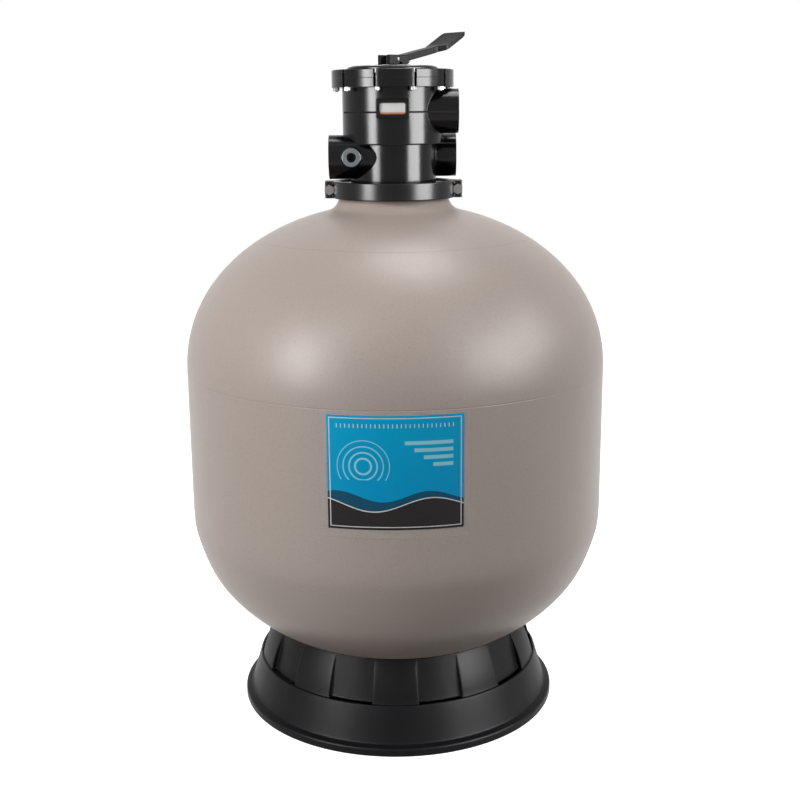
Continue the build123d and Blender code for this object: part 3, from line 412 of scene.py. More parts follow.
def height_line(tree, height, half_width):
    """A soft mask, 1 at a height and 0 beyond half a width from it."""
    coordinates = node(tree, "ShaderNodeTexCoord")
    split = node(tree, "ShaderNodeSeparateXYZ")
    tree.links.new(coordinates.outputs["Object"], split.inputs[0])
    gap = math_node(tree, "ABSOLUTE", math_node(tree, "SUBTRACT", split.outputs["Z"], height))
    line = node(tree, "ShaderNodeMapRange", interpolation_type="SMOOTHSTEP")
    line.inputs["From Max"].default_value = half_width
    line.inputs["To Min"].default_value = 1.0
    line.inputs["To Max"].default_value = 0.0
    tree.links.new(gap, line.inputs["Value"])
    return line.outputs["Result"]


tank_skin, tree, shader = new_material("tank_skin")
drifting = place_group(tree, "drift", Colour=TANK_COLOUR, Amount=0.07, Scale=5.0)
fleck = place_group(
    tree, "specks", Colour=drifting.outputs[0], Speck_Colour=TANK_SPECK,
    Scale=700.0, Threshold=0.58, Amount=0.35,
)
wall_line = height_line(tree, WALL_TOP, LINE_HALF_WIDTH)
dome_line = height_line(tree, DOME_LINE, LINE_HALF_WIDTH)
lines = math_node(tree, "ADD", wall_line, dome_line)
lined = mix_colour(tree, math_node(tree, "MULTIPLY", lines, 0.22), fleck.outputs[0], TANK_SPECK)
tree.links.new(lined, shader.inputs["Base Color"])
satin = place_group(tree, "gloss", Roughness=0.40, Amount=0.10, Scale=30.0)
tree.links.new(satin.outputs[0], shader.inputs["Roughness"])
peel = place_group(tree, "grain", Scale=420.0, Depth=1.0)
relief = math_node(tree, "SUBTRACT", peel.outputs[0], math_node(tree, "MULTIPLY", lines, 3.0))
bump(tree, shader, relief, 0.00008, 0.8)
set_shader(shader, Specular_IOR_Level=0.32)
print("tank skin: colour", TANK_COLOUR[:3])

# %% [markdown]
# ## Black mouldings
#
# The valve, its clamp, the lever and the base are black mouldings that differ mostly in
# gloss. One function makes them all: nearly black, a little drift, a fine grain, dull
# patches, and edges rounded by a Bevel node, so that each corner catches a thin light
# line as a real moulded corner does. The edges are also lightened in colour, partly as
# rubbing and dust and partly as a painted highlight, and a pale ring round the gauge
# tapping is a highlight painted on its lip.

# %% Black mouldings
# The colour of a painted highlight: a pale ring on the gauge tapping's lip
LIP_HIGHLIGHT_COLOUR = (0.22, 0.25, 0.26, 1)
SEAM_HALF_WIDTH = 0.0016
VALVE_SEAMS = (0.8322, 0.8756)
# Where that painted highlight lies: across, up, front face, inner and outer radius
GAUGE_RING = (-0.058, 0.815, -0.0595, 0.0066, 0.0128)


def lip_highlight_ring(tree, along, height, front, inner, outer):
    """A mask for a highlight painted on a tapping's lip: a ring about a line along Y."""
    coordinates = node(tree, "ShaderNodeTexCoord")
    split = node(tree, "ShaderNodeSeparateXYZ")
    tree.links.new(coordinates.outputs["Object"], split.inputs[0])
    gap_x = math_node(tree, "SUBTRACT", split.outputs["X"], along)
    gap_z = math_node(tree, "SUBTRACT", split.outputs["Z"], height)
    square_x = math_node(tree, "POWER", gap_x, 2.0)
    square_z = math_node(tree, "POWER", gap_z, 2.0)
    squares = math_node(tree, "ADD", square_x, square_z)
    away = math_node(tree, "SQRT", squares)
    inside = math_node(tree, "LESS_THAN", away, outer)
    ring = math_node(tree, "MULTIPLY", inside, math_node(tree, "GREATER_THAN", away, inner))
    return math_node(tree, "MULTIPLY", ring, math_node(tree, "LESS_THAN", split.outputs["Y"], front))


def black_plastic(name, colour, roughness, grain_depth, edge_radius, edge_wear_and_sheen_amount,
                  unevenness=0.08, specular=0.5, ring=None, seams=()):
    """A black moulding; ring places a pale highlight painted on a tapping's lip, and seams are heights of
    dull joint lines.
    """
    material, tree, shader = new_material(name)
    rounded = node(tree, "ShaderNodeBevel", samples=6)
    rounded.inputs["Radius"].default_value = edge_radius
    drifting = place_group(tree, "drift", Colour=colour, Amount=0.5, Scale=18.0)
    # Edges lighter in colour: partly rubbing and dust, partly a painted highlight
    edges = place_group(
        tree, "wear_and_sheen", Rounded_Normal=rounded.outputs[0], Colour=drifting.outputs[0],
        Edge_Colour=(0.16, 0.16, 0.165, 1), Amount=edge_wear_and_sheen_amount,
    )
    final_colour = edges.outputs["Colour"]
    # A pale ring painted on the gauge tapping's lip as a highlight
    if ring:
        final_colour = mix_colour(tree, lip_highlight_ring(tree, *ring), final_colour, LIP_HIGHLIGHT_COLOUR)
    tree.links.new(final_colour, shader.inputs["Base Color"])
    patchy = place_group(tree, "gloss", Roughness=roughness, Amount=unevenness, Scale=40.0)
    final_roughness = patchy.outputs[0]
    for height in seams:
        seam = math_node(tree, "GREATER_THAN", height_line(tree, height, SEAM_HALF_WIDTH), 0.2)
        final_roughness = math_node(tree, "MAXIMUM", final_roughness, seam)
    tree.links.new(final_roughness, shader.inputs["Roughness"])
    fine = place_group(tree, "grain", Scale=1500.0, Depth=1.0)
    bump(tree, shader, fine.outputs[0], grain_depth, 0.6, rounded.outputs[0])
    set_shader(shader, Specular_IOR_Level=specular)
    return material


valve_black = black_plastic("valve_black", (0.005, 0.005, 0.006, 1), 0.17, 0.00003, 0.0010, 0.15,
                            specular=0.17, ring=GAUGE_RING, seams=VALVE_SEAMS)
clamp_black = black_plastic("clamp_black", (0.006, 0.006, 0.007, 1), 0.24, 0.00004, 0.0009, 0.20,
                            specular=0.18)
lever_black = black_plastic("lever_black", (0.007, 0.007, 0.008, 1), 0.38, 0.00005, 0.0010, 0.16,
                            specular=0.07)
base_black = black_plastic("base_black", (0.006, 0.006, 0.007, 1), 0.40, 0.00008, 0.0022, 0.22,
                           specular=0.07)
drain_black = black_plastic("drain_black", (0.016, 0.016, 0.017, 1), 0.32, 0.00005, 0.0008, 0.35)
rotor_black = black_plastic("rotor_black", (0.035, 0.035, 0.037, 1), 0.42, 0.00006, 0.0008, 0.30)
print("black mouldings:", valve_black.name, clamp_black.name, lever_black.name, base_black.name)

# %% [markdown]
# ## Seals, lens, metal and pipe
#
# The smaller finishes. Rubber is dark and dull with a bloom of pale dust; the sight
# window's seal is an orange-red silicone, which tints the window's edge. The lens is milky.
# Fasteners are stainless steel, turned and then tumbled, so their gloss is streaky. The
# pipes inside are plain white pipe plastic.

# %% Seals, lens, metal and pipe


def rubber(name, colour, bloom):
    material, tree, shader = new_material(name)
    dusty = place_group(
        tree, "specks", Colour=colour, Speck_Colour=bloom, Scale=260.0, Threshold=0.55, Amount=0.25
    )
    tree.links.new(dusty.outputs[0], shader.inputs["Base Color"])
    dull = place_group(tree, "gloss", Roughness=0.62, Amount=0.16, Scale=60.0)
    tree.links.new(dull.outputs[0], shader.inputs["Roughness"])
    fine = place_group(tree, "grain", Scale=1800.0, Depth=1.0)
    bump(tree, shader, fine.outputs[0], 0.00004, 0.5)
    return material


def bare_metal(name, colour, roughness, streak):
    material, tree, shader = new_material(name)
    rounded = node(tree, "ShaderNodeBevel", samples=4)
    rounded.inputs["Radius"].default_value = 0.0004
    drifting = place_group(tree, "drift", Colour=colour, Amount=0.25, Scale=90.0)
    tree.links.new(drifting.outputs[0], shader.inputs["Base Color"])
    streaky = math_node(tree, "MULTIPLY_ADD", noise(tree, 260.0, 3.0, 0.6, streak), 0.22, roughness - 0.11)
    tree.links.new(streaky, shader.inputs["Roughness"])
    bump(tree, shader, noise(tree, 900.0, 2.0, 0.5, streak), 0.00002, 0.5, rounded.outputs[0])
    set_shader(shader, Metallic=1.0)
    return material


def pale_plastic(name, colour, speck, roughness):
    material, tree, shader = new_material(name)
    drifting = place_group(tree, "drift", Colour=colour, Amount=0.06, Scale=20.0)
    marked = place_group(
        tree, "specks", Colour=drifting.outputs[0], Speck_Colour=speck,
        Scale=320.0, Threshold=0.66, Amount=0.3,
    )
    tree.links.new(marked.outputs[0], shader.inputs["Base Color"])
    patchy = place_group(tree, "gloss", Roughness=roughness, Amount=0.12, Scale=35.0)
    tree.links.new(patchy.outputs[0], shader.inputs["Roughness"])
    fine = place_group(tree, "grain", Scale=1200.0, Depth=1.0)
    bump(tree, shader, fine.outputs[0], 0.00004, 0.5)
    return material


black_rubber = rubber("black_rubber", (0.02, 0.02, 0.02, 1), (0.07, 0.07, 0.065, 1))
orange_silicone = rubber("orange_silicone", (0.70, 0.14, 0.045, 1), (0.80, 0.30, 0.16, 1))
stainless = bare_metal("stainless", (0.30, 0.295, 0.29, 1), 0.34, (1, 1, 6))
dull_steel = bare_metal("dull_steel", (0.075, 0.075, 0.078, 1), 0.42, (1, 1, 6))
grey_steel = bare_metal("grey_steel", (0.13, 0.127, 0.124, 1), 0.38, (1, 1, 6))
spring_wire = bare_metal("spring_wire", (0.50, 0.50, 0.50, 1), 0.36, (4, 4, 1))
slip_plastic = pale_plastic("slip_plastic", (0.060, 0.060, 0.062, 1), (0.11, 0.11, 0.11, 1), 0.45)
pipe_plastic = pale_plastic("pipe_plastic", (0.78, 0.78, 0.75, 1), (0.60, 0.60, 0.57, 1), 0.38)
plate_film = black_plastic("plate_film", (0.03, 0.03, 0.032, 1), 0.30, 0.00003, 0.0003, 0.2)

# The lens is milky, and the seal behind it tints its lower edge
LENS_TINT_TALL = 0.0040
lens_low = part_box("sight_glass")[0]
milky_lens, tree, shader = new_material("milky_lens")
lens_place = node(tree, "ShaderNodeTexCoord")
lens_split = node(tree, "ShaderNodeSeparateXYZ")
tree.links.new(lens_place.outputs["Object"], lens_split.inputs[0])
lens_tint = node(tree, "ShaderNodeMapRange", interpolation_type="SMOOTHSTEP")
lens_tint.inputs["From Min"].default_value = lens_low[2] + LENS_TINT_TALL * 0.9
lens_tint.inputs["From Max"].default_value = lens_low[2] + LENS_TINT_TALL * 1.6
tree.links.new(lens_split.outputs["Z"], lens_tint.inputs["Value"])
milk = place_group(tree, "drift", Colour=(0.88, 0.88, 0.86, 1), Amount=0.05, Scale=60.0)
glow = mix_colour(tree, lens_tint.outputs["Result"], (0.72, 0.20, 0.09, 1), milk.outputs[0])
tree.links.new(glow, shader.inputs["Base Color"])
smear = place_group(tree, "gloss", Roughness=0.10, Amount=0.05, Scale=70.0)
tree.links.new(smear.outputs[0], shader.inputs["Roughness"])
ripple = place_group(tree, "grain", Scale=300.0, Depth=1.0)
bump(tree, shader, ripple.outputs[0], 0.00002, 0.3)
print("small finishes:", black_rubber.name, orange_silicone.name, stainless.name, milky_lens.name)

# %% Give every construction node its finish
FINISHES = {
    "tank_skin": tank_skin,
    "black_moulding": valve_black,
    "lever_moulding": lever_black,
    "clamp_moulding": clamp_black,
    "base_moulding": base_black,
    "black_seal": black_rubber,
    "orange_seal": orange_silicone,
    "clear_lens": milky_lens,
    "stainless": stainless,
    "spring_steel": spring_wire,
    "slip_washer": slip_plastic,
    "dial_plate": plate_film,
    "rotor_moulding": rotor_black,
    "pipe_white": pipe_plastic,
    "drain_moulding": drain_black,
    "label_film": plate_film,
}
OWN_FINISH = {"lid_bolts": dull_steel, "handle_pin": dull_steel, "clamp_bolts": grey_steel}
for subpart in frame["record"]["subparts"]:
    surface = nodes[subpart["node"]].data
    surface.materials.clear()
    surface.materials.append(OWN_FINISH.get(subpart["node"], FINISHES[subpart["material_slot"]]))

# %% [markdown]
# ## Soft edges on the mouldings
#
# No moulded edge is sharp: the tool's corners leave a radius of half a millimetre or more,
# and that radius is what catches the light along a rim or a lug. The construction model
# has the true shape with plain edges, so each moulding listed below is copied, its loose
# triangles are joined and its flat faces made whole again, and a Bevel modifier rounds what
# is sharp. The copy then stands for the node that it came from.

# %% Soft-edged copies
BODY_OF = {}
for body, members in frame["record"]["behaviour"]["bodies"].items():
    for member in members:
        BODY_OF[member] = body
SLOT_OF = {subpart["node"]: subpart["material_slot"] for subpart in frame["record"]["subparts"]}
SAME_PLACE = 1e-5
FLAT_ANGLE = math.radians(0.3)
SMOOTH_ANGLE = math.radians(32)


def activate(piece):
    """Makes one piece the only one selected, so that operators act on it alone."""
    deselect()
    piece.select_set(True)
    bpy.context.view_layer.objects.active = piece


def take_place(piece, node_name, finish):
    """Gives a piece its finish and puts it in the place of a construction node."""
    piece.data.materials.clear()
    piece.data.materials.append(finish)
    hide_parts(node_name)
    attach(piece, BODY_OF[node_name])


def round_edges(piece, width, segments=2, angle=35.0):
    """Rounds the sharp edges of a piece, then shades it smooth up to that sharpness."""
    activate(piece)
    rounding = piece.modifiers.new("rounding", "BEVEL")
    rounding.width = width
    rounding.segments = segments
    rounding.limit_method = "ANGLE"
    rounding.angle_limit = math.radians(angle)
    rounding.use_clamp_overlap = False
    bpy.ops.object.modifier_apply(modifier=rounding.name)
    bpy.ops.object.shade_smooth_by_angle(angle=SMOOTH_ANGLE)
    levelling = piece.modifiers.new("levelling", "WEIGHTED_NORMAL")
    levelling.keep_sharp = True
    bpy.ops.object.modifier_apply(modifier=levelling.name)


def softened(node_name, width, segments=2):
    """A copy of a construction node with rounded edges, which replaces it."""
    piece = bpy.data.objects.new("soft_" + node_name, nodes[node_name].data.copy())
    bpy.context.scene.collection.objects.link(piece)
    activate(piece)
    bpy.ops.object.mode_set(mode="EDIT")
    bpy.ops.mesh.select_all(action="SELECT")
    bpy.ops.mesh.remove_doubles(threshold=SAME_PLACE)
    bpy.ops.mesh.dissolve_limited(angle_limit=FLAT_ANGLE)
    bpy.ops.object.mode_set(mode="OBJECT")
    bpy.ops.mesh.customdata_custom_splitnormals_clear()
    round_edges(piece, width, segments)
    take_place(piece, node_name, FINISHES[SLOT_OF[node_name]])
    return piece


EDGE_RADII = {
    "base_ring": 0.0014, "clamp_front": 0.0006,
    "clamp_rear": 0.0006, "sight_bezel": 0.0004, "handle_washer": 0.0003,
    "drain_cap": 0.0005, "drain_spigot": 0.0005,
}
for name, radius in EDGE_RADII.items():
    piece = softened(name, radius)
    print("soft edges:", name, len(piece.data.polygons), "faces")
# %% [markdown]
# ## The lever
#
# The lever is one glass-filled moulding: a forked hub that straddles the stem, two cam
# noses that ride on the washer, an arm that rises, and a thin paddle that a palm presses.
# A boolean of plain blocks makes the hub, because its faces are flat and its holes round.
# The arm and paddle are one block whose end face is extruded along the rise, widened and
# thinned at each step, as the section of the real one changes. It is built flat, with the
# pin at the origin and the arm along X, then turned to the position that it points at.

# %% Building helpers
MM = 0.001


def block(name, low, high):
    """A block between two corners in millimetres, with its place in its mesh."""
    deselect()
    middle = [(a + b) / 2 * MM for a, b in zip(low, high)]
    bpy.ops.mesh.primitive_cube_add(size=1, location=middle)
    piece = bpy.context.object
    piece.name = name
    piece.scale = [(b - a) * MM for a, b in zip(low, high)]
    bpy.ops.object.transform_apply(location=True, rotation=True, scale=True)
    return piece


def cross_rod(name, radius, length, along, up, sides=64):
    """A rod in millimetres that lies along Y."""
    deselect()
    bpy.ops.mesh.primitive_cylinder_add(
        vertices=sides, radius=radius * MM, depth=length * MM,
        location=(along * MM, 0, up * MM), rotation=(math.pi / 2, 0, 0),
    )
    piece = bpy.context.object
    piece.name = name
    bpy.ops.object.transform_apply(location=True, rotation=True, scale=True)
    return piece


def combine(piece, tool, operation):
    """Joins a second solid to a piece, or cuts it out, and removes it."""
    activate(piece)
    joint = piece.modifiers.new("joint", "BOOLEAN")
    joint.operation = operation
    joint.object = tool
    joint.solver = "EXACT"
    bpy.ops.object.modifier_apply(modifier=joint.name)
    bpy.data.objects.remove(tool)


def pick_faces(piece, wanted):
    """Selects, in edit mode, the faces whose centre and normal pass a test."""
    activate(piece)
    bpy.ops.object.mode_set(mode="EDIT")
    bpy.ops.mesh.select_mode(type="FACE")
    bpy.ops.mesh.select_all(action="DESELECT")
    bpy.ops.object.mode_set(mode="OBJECT")
    for face in piece.data.polygons:
        face.select = wanted(face.center, face.normal)
    bpy.ops.object.mode_set(mode="EDIT")


print("helpers: block, cross_rod, combine, pick_faces")

# %% Arm and paddle
HUB_TOP = 5.4
ARM_START = 15.0
# Each section: distance along, middle height, thickness, width
ARM_SECTIONS = (
    (38.0, 5.8, 9.4, 21.0),
    (73.0, 13.4, 9.0, 21.0),
    (78.0, 14.8, 8.4, 23.0),
    (85.0, 16.6, 7.0, 43.0),
    (90.0, 18.8, 6.8, 45.0),
    (117.0, 34.3, 6.8, 45.0),
    (122.4, 37.4, 5.6, 43.0),
)
first_thickness = 9.4
arm = block("lever_arm", (ARM_START - 4, -10.5, HUB_TOP - first_thickness), (ARM_START, 10.5, HUB_TOP))
pick_faces(arm, lambda centre, normal: normal.x > 0.9)
place = Vector((ARM_START, 0, HUB_TOP - first_thickness / 2))
thickness, width = first_thickness, 21.0
for along, up, next_thickness, next_width in ARM_SECTIONS:
    step = Vector((along, 0, up)) - place
    bpy.ops.mesh.extrude_region_move(TRANSFORM_OT_translate={"value": step * MM})
    place = Vector((along, 0, up))
    bpy.ops.transform.resize(
        value=(1, next_width / width, next_thickness / thickness), center_override=place * MM
    )
    thickness, width = next_thickness, next_width
bpy.ops.object.mode_set(mode="OBJECT")
print("arm and paddle:", len(arm.data.polygons), "faces, tip at", [round(v, 1) for v in place])

# %% Dished paddle
PADDLE_START = 90.0
DISH_BORDER = 0.0032
DISH_DEPTH = 0.0009
pick_faces(arm, lambda centre, normal: PADDLE_START * MM < centre.x < 0.118 and normal.z > 0.7)
bpy.ops.mesh.inset(thickness=DISH_BORDER, depth=-DISH_DEPTH)
bpy.ops.object.mode_set(mode="OBJECT")
print("paddle: dished by", DISH_DEPTH * 1000, "mm inside a border of", DISH_BORDER * 1000, "mm")

# %% Hub, cams, fork and pin hole
HUB_BACK = -16.0
HUB_FOOT = -7.6
HUB_HALF = 13.0
CAM_PLACE = 14.0
CAM_RADIUS = 7.9
FORK_HALF = 6.3
FORK_END = 13.0
NOTCH_PLACE = 4.4
NOTCH_RADIUS = 3.2
PIN_RADIUS = 2.52
lever = block("lever", (HUB_BACK, -HUB_HALF, HUB_FOOT), (CAM_PLACE, HUB_HALF, HUB_TOP))
cams = cross_rod("cams", CAM_RADIUS, 2 * HUB_HALF, CAM_PLACE, 0)
combine(cams, block("above", (0, -20, HUB_TOP), (30, 20, 20)), "DIFFERENCE")
combine(lever, cams, "UNION")
combine(lever, arm, "UNION")
combine(lever, block("fork", (-30, -FORK_HALF, -20), (FORK_END, FORK_HALF, 20)), "DIFFERENCE")
combine(lever, cross_rod("notch", NOTCH_RADIUS, 40, NOTCH_PLACE, HUB_FOOT), "DIFFERENCE")
combine(lever, cross_rod("pin_hole", PIN_RADIUS, 40, 0, 0), "DIFFERENCE")
print("lever:", len(lever.data.polygons), "faces")

# %% Round and place the lever
LEVER_BEARING = math.radians(42)
LEVER_EDGE = 0.0007
pin_low, pin_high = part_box("handle_pin")
pin_height = (pin_low[2] + pin_high[2]) / 2
activate(lever)
bpy.ops.object.mode_set(mode="EDIT")
bpy.ops.mesh.select_all(action="SELECT")
bpy.ops.mesh.remove_doubles(threshold=SAME_PLACE)
bpy.ops.mesh.dissolve_limited(angle_limit=FLAT_ANGLE)
bpy.ops.object.mode_set(mode="OBJECT")
round_edges(lever, LEVER_EDGE, 3)
lever.matrix_world = Matrix.Translation((0, 0, pin_height)) @ Matrix.Rotation(LEVER_BEARING, 4, "Z")
bpy.ops.object.transform_apply(location=True, rotation=True, scale=True)
take_place(lever, "handle", lever_black)
print("lever: pin at height", round(pin_height, 4), "box", [round(v, 3) for v in lever.dimensions])

# %% [markdown]
# ## The front label
#
# The label is a printed film on a slightly larger clear carrier, both wrapped round the
# tank. A film is flat when it is printed, so it starts as a flat grid with its own UV map,
# in which the print is drawn, and a bend about the tank's axis wraps it. The bend's angle
# is the film's width over its radius, and so its length along the wall stays true.

# %% Wrapped films
label_low, label_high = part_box("front_label")
PRINT_RADIUS = -label_low[1]
PRINT_BOTTOM, PRINT_TOP = label_low[2], label_high[2]
PRINT_WIDTH = 0.176
FILM_STEPS = 72


def wrapped_film(name, radius, left, right, bottom, top, thickness):
    """A film between two arc distances and two heights, bent to a radius about the axis."""
    width, tall = right - left, top - bottom
    deselect()
    bpy.ops.mesh.primitive_grid_add(
        x_subdivisions=FILM_STEPS, y_subdivisions=6, size=1, rotation=(math.pi / 2, 0, 0)
    )
    film = bpy.context.object
    film.name = name
    film.scale = (width, tall, 1)
    bpy.ops.object.transform_apply(location=True, rotation=True, scale=True)
    wrap = film.modifiers.new("wrap", "SIMPLE_DEFORM")
    wrap.deform_method = "BEND"
    wrap.deform_axis = "Z"
    wrap.angle = width / radius
    bpy.ops.object.modifier_apply(modifier=wrap.name)
    middle_y = min((v.co for v in film.data.vertices), key=lambda co: abs(co.x)).y
    edge_y = max((v.co for v in film.data.vertices), key=lambda co: abs(co.x)).y
    if edge_y < middle_y:
        bpy.ops.transform.mirror(constraint_axis=(False, True, False), center_override=(0, 0, 0))
        bpy.ops.object.transform_apply(location=True, rotation=True, scale=True)
        middle_y = -middle_y
    film.location = (0, -radius - middle_y, (top + bottom) / 2)
    bpy.ops.object.transform_apply(location=True, rotation=True, scale=True)
    film.rotation_euler.z = (left + right) / 2 / radius
    bpy.ops.object.transform_apply(location=True, rotation=True, scale=True)
    bpy.ops.object.mode_set(mode="EDIT")
    bpy.ops.mesh.select_all(action="SELECT")
    bpy.ops.mesh.normals_make_consistent(inside=False)
    bpy.ops.object.mode_set(mode="OBJECT")
    if film.data.polygons[0].normal.y > 0:
        film.data.flip_normals()
    body = film.modifiers.new("body", "SOLIDIFY")
    body.thickness = thickness
    body.offset = -1
    bpy.ops.object.modifier_apply(modifier=body.name)
    bpy.ops.object.shade_smooth_by_angle(angle=SMOOTH_ANGLE)
    radii = [math.hypot(v.co.x, v.co.y) for v in film.data.vertices]
    box = [round(v, 4) for v in film.dimensions]
    print(name, "radius", round(min(radii), 5), "to", round(max(radii), 5), "box", box)
    return film


half = PRINT_WIDTH / 2
label_print = wrapped_film("label_print", PRINT_RADIUS, -half, half, PRINT_BOTTOM, PRINT_TOP, 0.00022)
label_carrier = wrapped_film(
    "label_carrier", PRINT_RADIUS - 0.00024, -half - 0.011, half + 0.008,
    PRINT_BOTTOM - 0.0125, PRINT_TOP + 0.005, 0.00008,
)

# %% [markdown]
# ## The label's print
#
# A generic print: a blue field that deepens downwards, two waves of darker ink along the
# foot, a ripple of rings, a stack of pale bars, a row of ticks and a thin border. Each
# mark is a mask worked out from millimetres across and up the film, and each mask mixes
# its ink over the field, in the order in which a press lays them down.

# %% Printing helpers
INK_EDGE = 0.35


def above(tree, value, edge):
    """A mask that is 1 where a value is past an edge, with a soft step."""
    passed = math_node(tree, "DIVIDE", math_node(tree, "SUBTRACT", value, edge), INK_EDGE)
    mask = node(tree, "ShaderNodeClamp")
    tree.links.new(math_node(tree, "ADD", passed, 0.5), mask.inputs["Value"])
    return mask.outputs[0]


def between(tree, value, low, high):
    """A mask that is 1 where a value lies between two edges."""
    return math_node(tree, "SUBTRACT", above(tree, value, low), above(tree, value, high))


def both(tree, first, second):
    """The part that two masks share."""
    return math_node(tree, "MULTIPLY", first, second)


def wave(tree, across, level, height, length, shift):
    """A height that swings about a level along the film."""
    phase = math_node(tree, "MULTIPLY_ADD", across, 2 * math.pi / length, shift)
    return math_node(tree, "MULTIPLY_ADD", math_node(tree, "SINE", phase), height, level)


print("helpers: above, between, both, wave")

# %% Printed film
FIELD_TOP = (0.0, 0.430, 0.740, 1)
FIELD_FOOT = (0.0, 0.340, 0.690, 1)
INK_DEEP = (0.004, 0.080, 0.150, 1)
INK_CHARCOAL = (0.016, 0.012, 0.013, 1)
INK_PALE = (0.32, 0.74, 0.88, 1)
INK_WHITE = (0.78, 0.82, 0.84, 1)
FILM_WIDE, FILM_TALL = 176.0, 150.0
print_film, tree, shader = new_material("print_film")
film_map = node(tree, "ShaderNodeUVMap", uv_map=label_print.data.uv_layers[0].name)
film_split = node(tree, "ShaderNodeSeparateXYZ")
tree.links.new(film_map.outputs["UV"], film_split.inputs[0])
across = math_node(tree, "MULTIPLY", film_split.outputs["X"], FILM_WIDE)
up = math_node(tree, "MULTIPLY", film_split.outputs["Y"], FILM_TALL)
ink = mix_colour(tree, film_split.outputs["Y"], FIELD_FOOT, FIELD_TOP)
to_left = math_node(tree, "SUBTRACT", across, 47.0)
to_foot = math_node(tree, "SUBTRACT", up, 84.0)
distance = math_node(tree, "SQRT", math_node(
    tree, "ADD", math_node(tree, "POWER", to_left, 2.0), math_node(tree, "POWER", to_foot, 2.0)
))
for radius, thick in ((9.0, 2.6), (17.0, 2.0), (25.0, 1.5), (33.0, 1.1)):
    ring = both(tree, between(tree, distance, radius, radius + thick), above(tree, to_foot, -18.0))
    ink = mix_colour(tree, ring, ink, INK_PALE)
for row, reach in enumerate((62.0, 50.0, 38.0, 26.0)):
    foot = 112.0 - 9.5 * row
    bar = both(tree, between(tree, up, foot, foot + 5.0), between(tree, across, 162.0 - reach, 162.0))
    ink = mix_colour(tree, bar, ink, INK_PALE)
high_wave = wave(tree, across, 44.0, 7.0, 118.0, 0.9)
ink = mix_colour(tree, above(tree, math_node(tree, "SUBTRACT", high_wave, up), 0.0), ink, INK_DEEP)
low_wave = wave(tree, across, 33.0, 9.0, 150.0, 2.2)
ink = mix_colour(tree, above(tree, math_node(tree, "SUBTRACT", low_wave, up), 0.0), ink, INK_CHARCOAL)
crest = math_node(tree, "ABSOLUTE", math_node(tree, "SUBTRACT", low_wave, up))
ink = mix_colour(tree, math_node(tree, "SUBTRACT", 1.0, above(tree, crest, 0.7)), ink, INK_WHITE)
tick = between(tree, math_node(tree, "MODULO", across, 5.5), 2.0, 3.0)
tick_row = both(tree, tick, both(tree, between(tree, up, 134.0, 139.0), between(tree, across, 11.0, 165.0)))
ink = mix_colour(tree, tick_row, ink, INK_WHITE)
side_gap = math_node(tree, "MINIMUM", across, math_node(tree, "SUBTRACT", FILM_WIDE, across))
end_gap = math_node(tree, "MINIMUM", up, math_node(tree, "SUBTRACT", FILM_TALL, up))
margin = math_node(tree, "MINIMUM", side_gap, end_gap)
ink = mix_colour(tree, between(tree, margin, 3.0, 4.1), ink, INK_WHITE)
dots = place_group(
    tree, "specks", Colour=ink, Speck_Colour=(0.5, 0.56, 0.6, 1), Scale=800.0, Threshold=0.72, Amount=0.06
)
tree.links.new(dots.outputs[0], shader.inputs["Base Color"])
film_gloss = place_group(tree, "gloss", Roughness=0.34, Amount=0.10, Scale=45.0)
tree.links.new(film_gloss.outputs[0], shader.inputs["Roughness"])
film_grain = place_group(tree, "grain", Scale=600.0, Depth=1.0)
bump(tree, shader, film_grain.outputs[0], 0.00003, 0.4)
set_shader(shader, Specular_IOR_Level=0.14)
take_place(label_print, "front_label", print_film)
print("print film: waves, rings, bars, ticks and a border, no lettering")

# %% Clear carrier
CARRIER_ALPHA = 0.07
carrier_film, tree, shader = new_material("carrier_film")
haze = place_group(tree, "drift", Colour=(0.80, 0.80, 0.79, 1), Amount=0.10, Scale=30.0)
tree.links.new(haze.outputs[0], shader.inputs["Base Color"])
carrier_gloss = place_group(tree, "gloss", Roughness=0.30, Amount=0.12, Scale=50.0)
tree.links.new(carrier_gloss.outputs[0], shader.inputs["Roughness"])
set_shader(shader, Alpha=CARRIER_ALPHA, Specular_IOR_Level=0.3)
label_carrier.data.materials.clear()
label_carrier.data.materials.append(carrier_film)
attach(label_carrier, BODY_OF["front_label"])
print("carrier: clear film, alpha", CARRIER_ALPHA)

# %% [markdown]
# ## Dial numbers
#
# The ring-shaped plate under the lever tells the six positions of the valve apart. It
# carries plain numbers, raised by a tenth of a millimetre as screen ink is, and a tick
# between each two. Text makes clean digits, and it is turned into a mesh before it is
# placed. The digits are joined, since one print made them all.

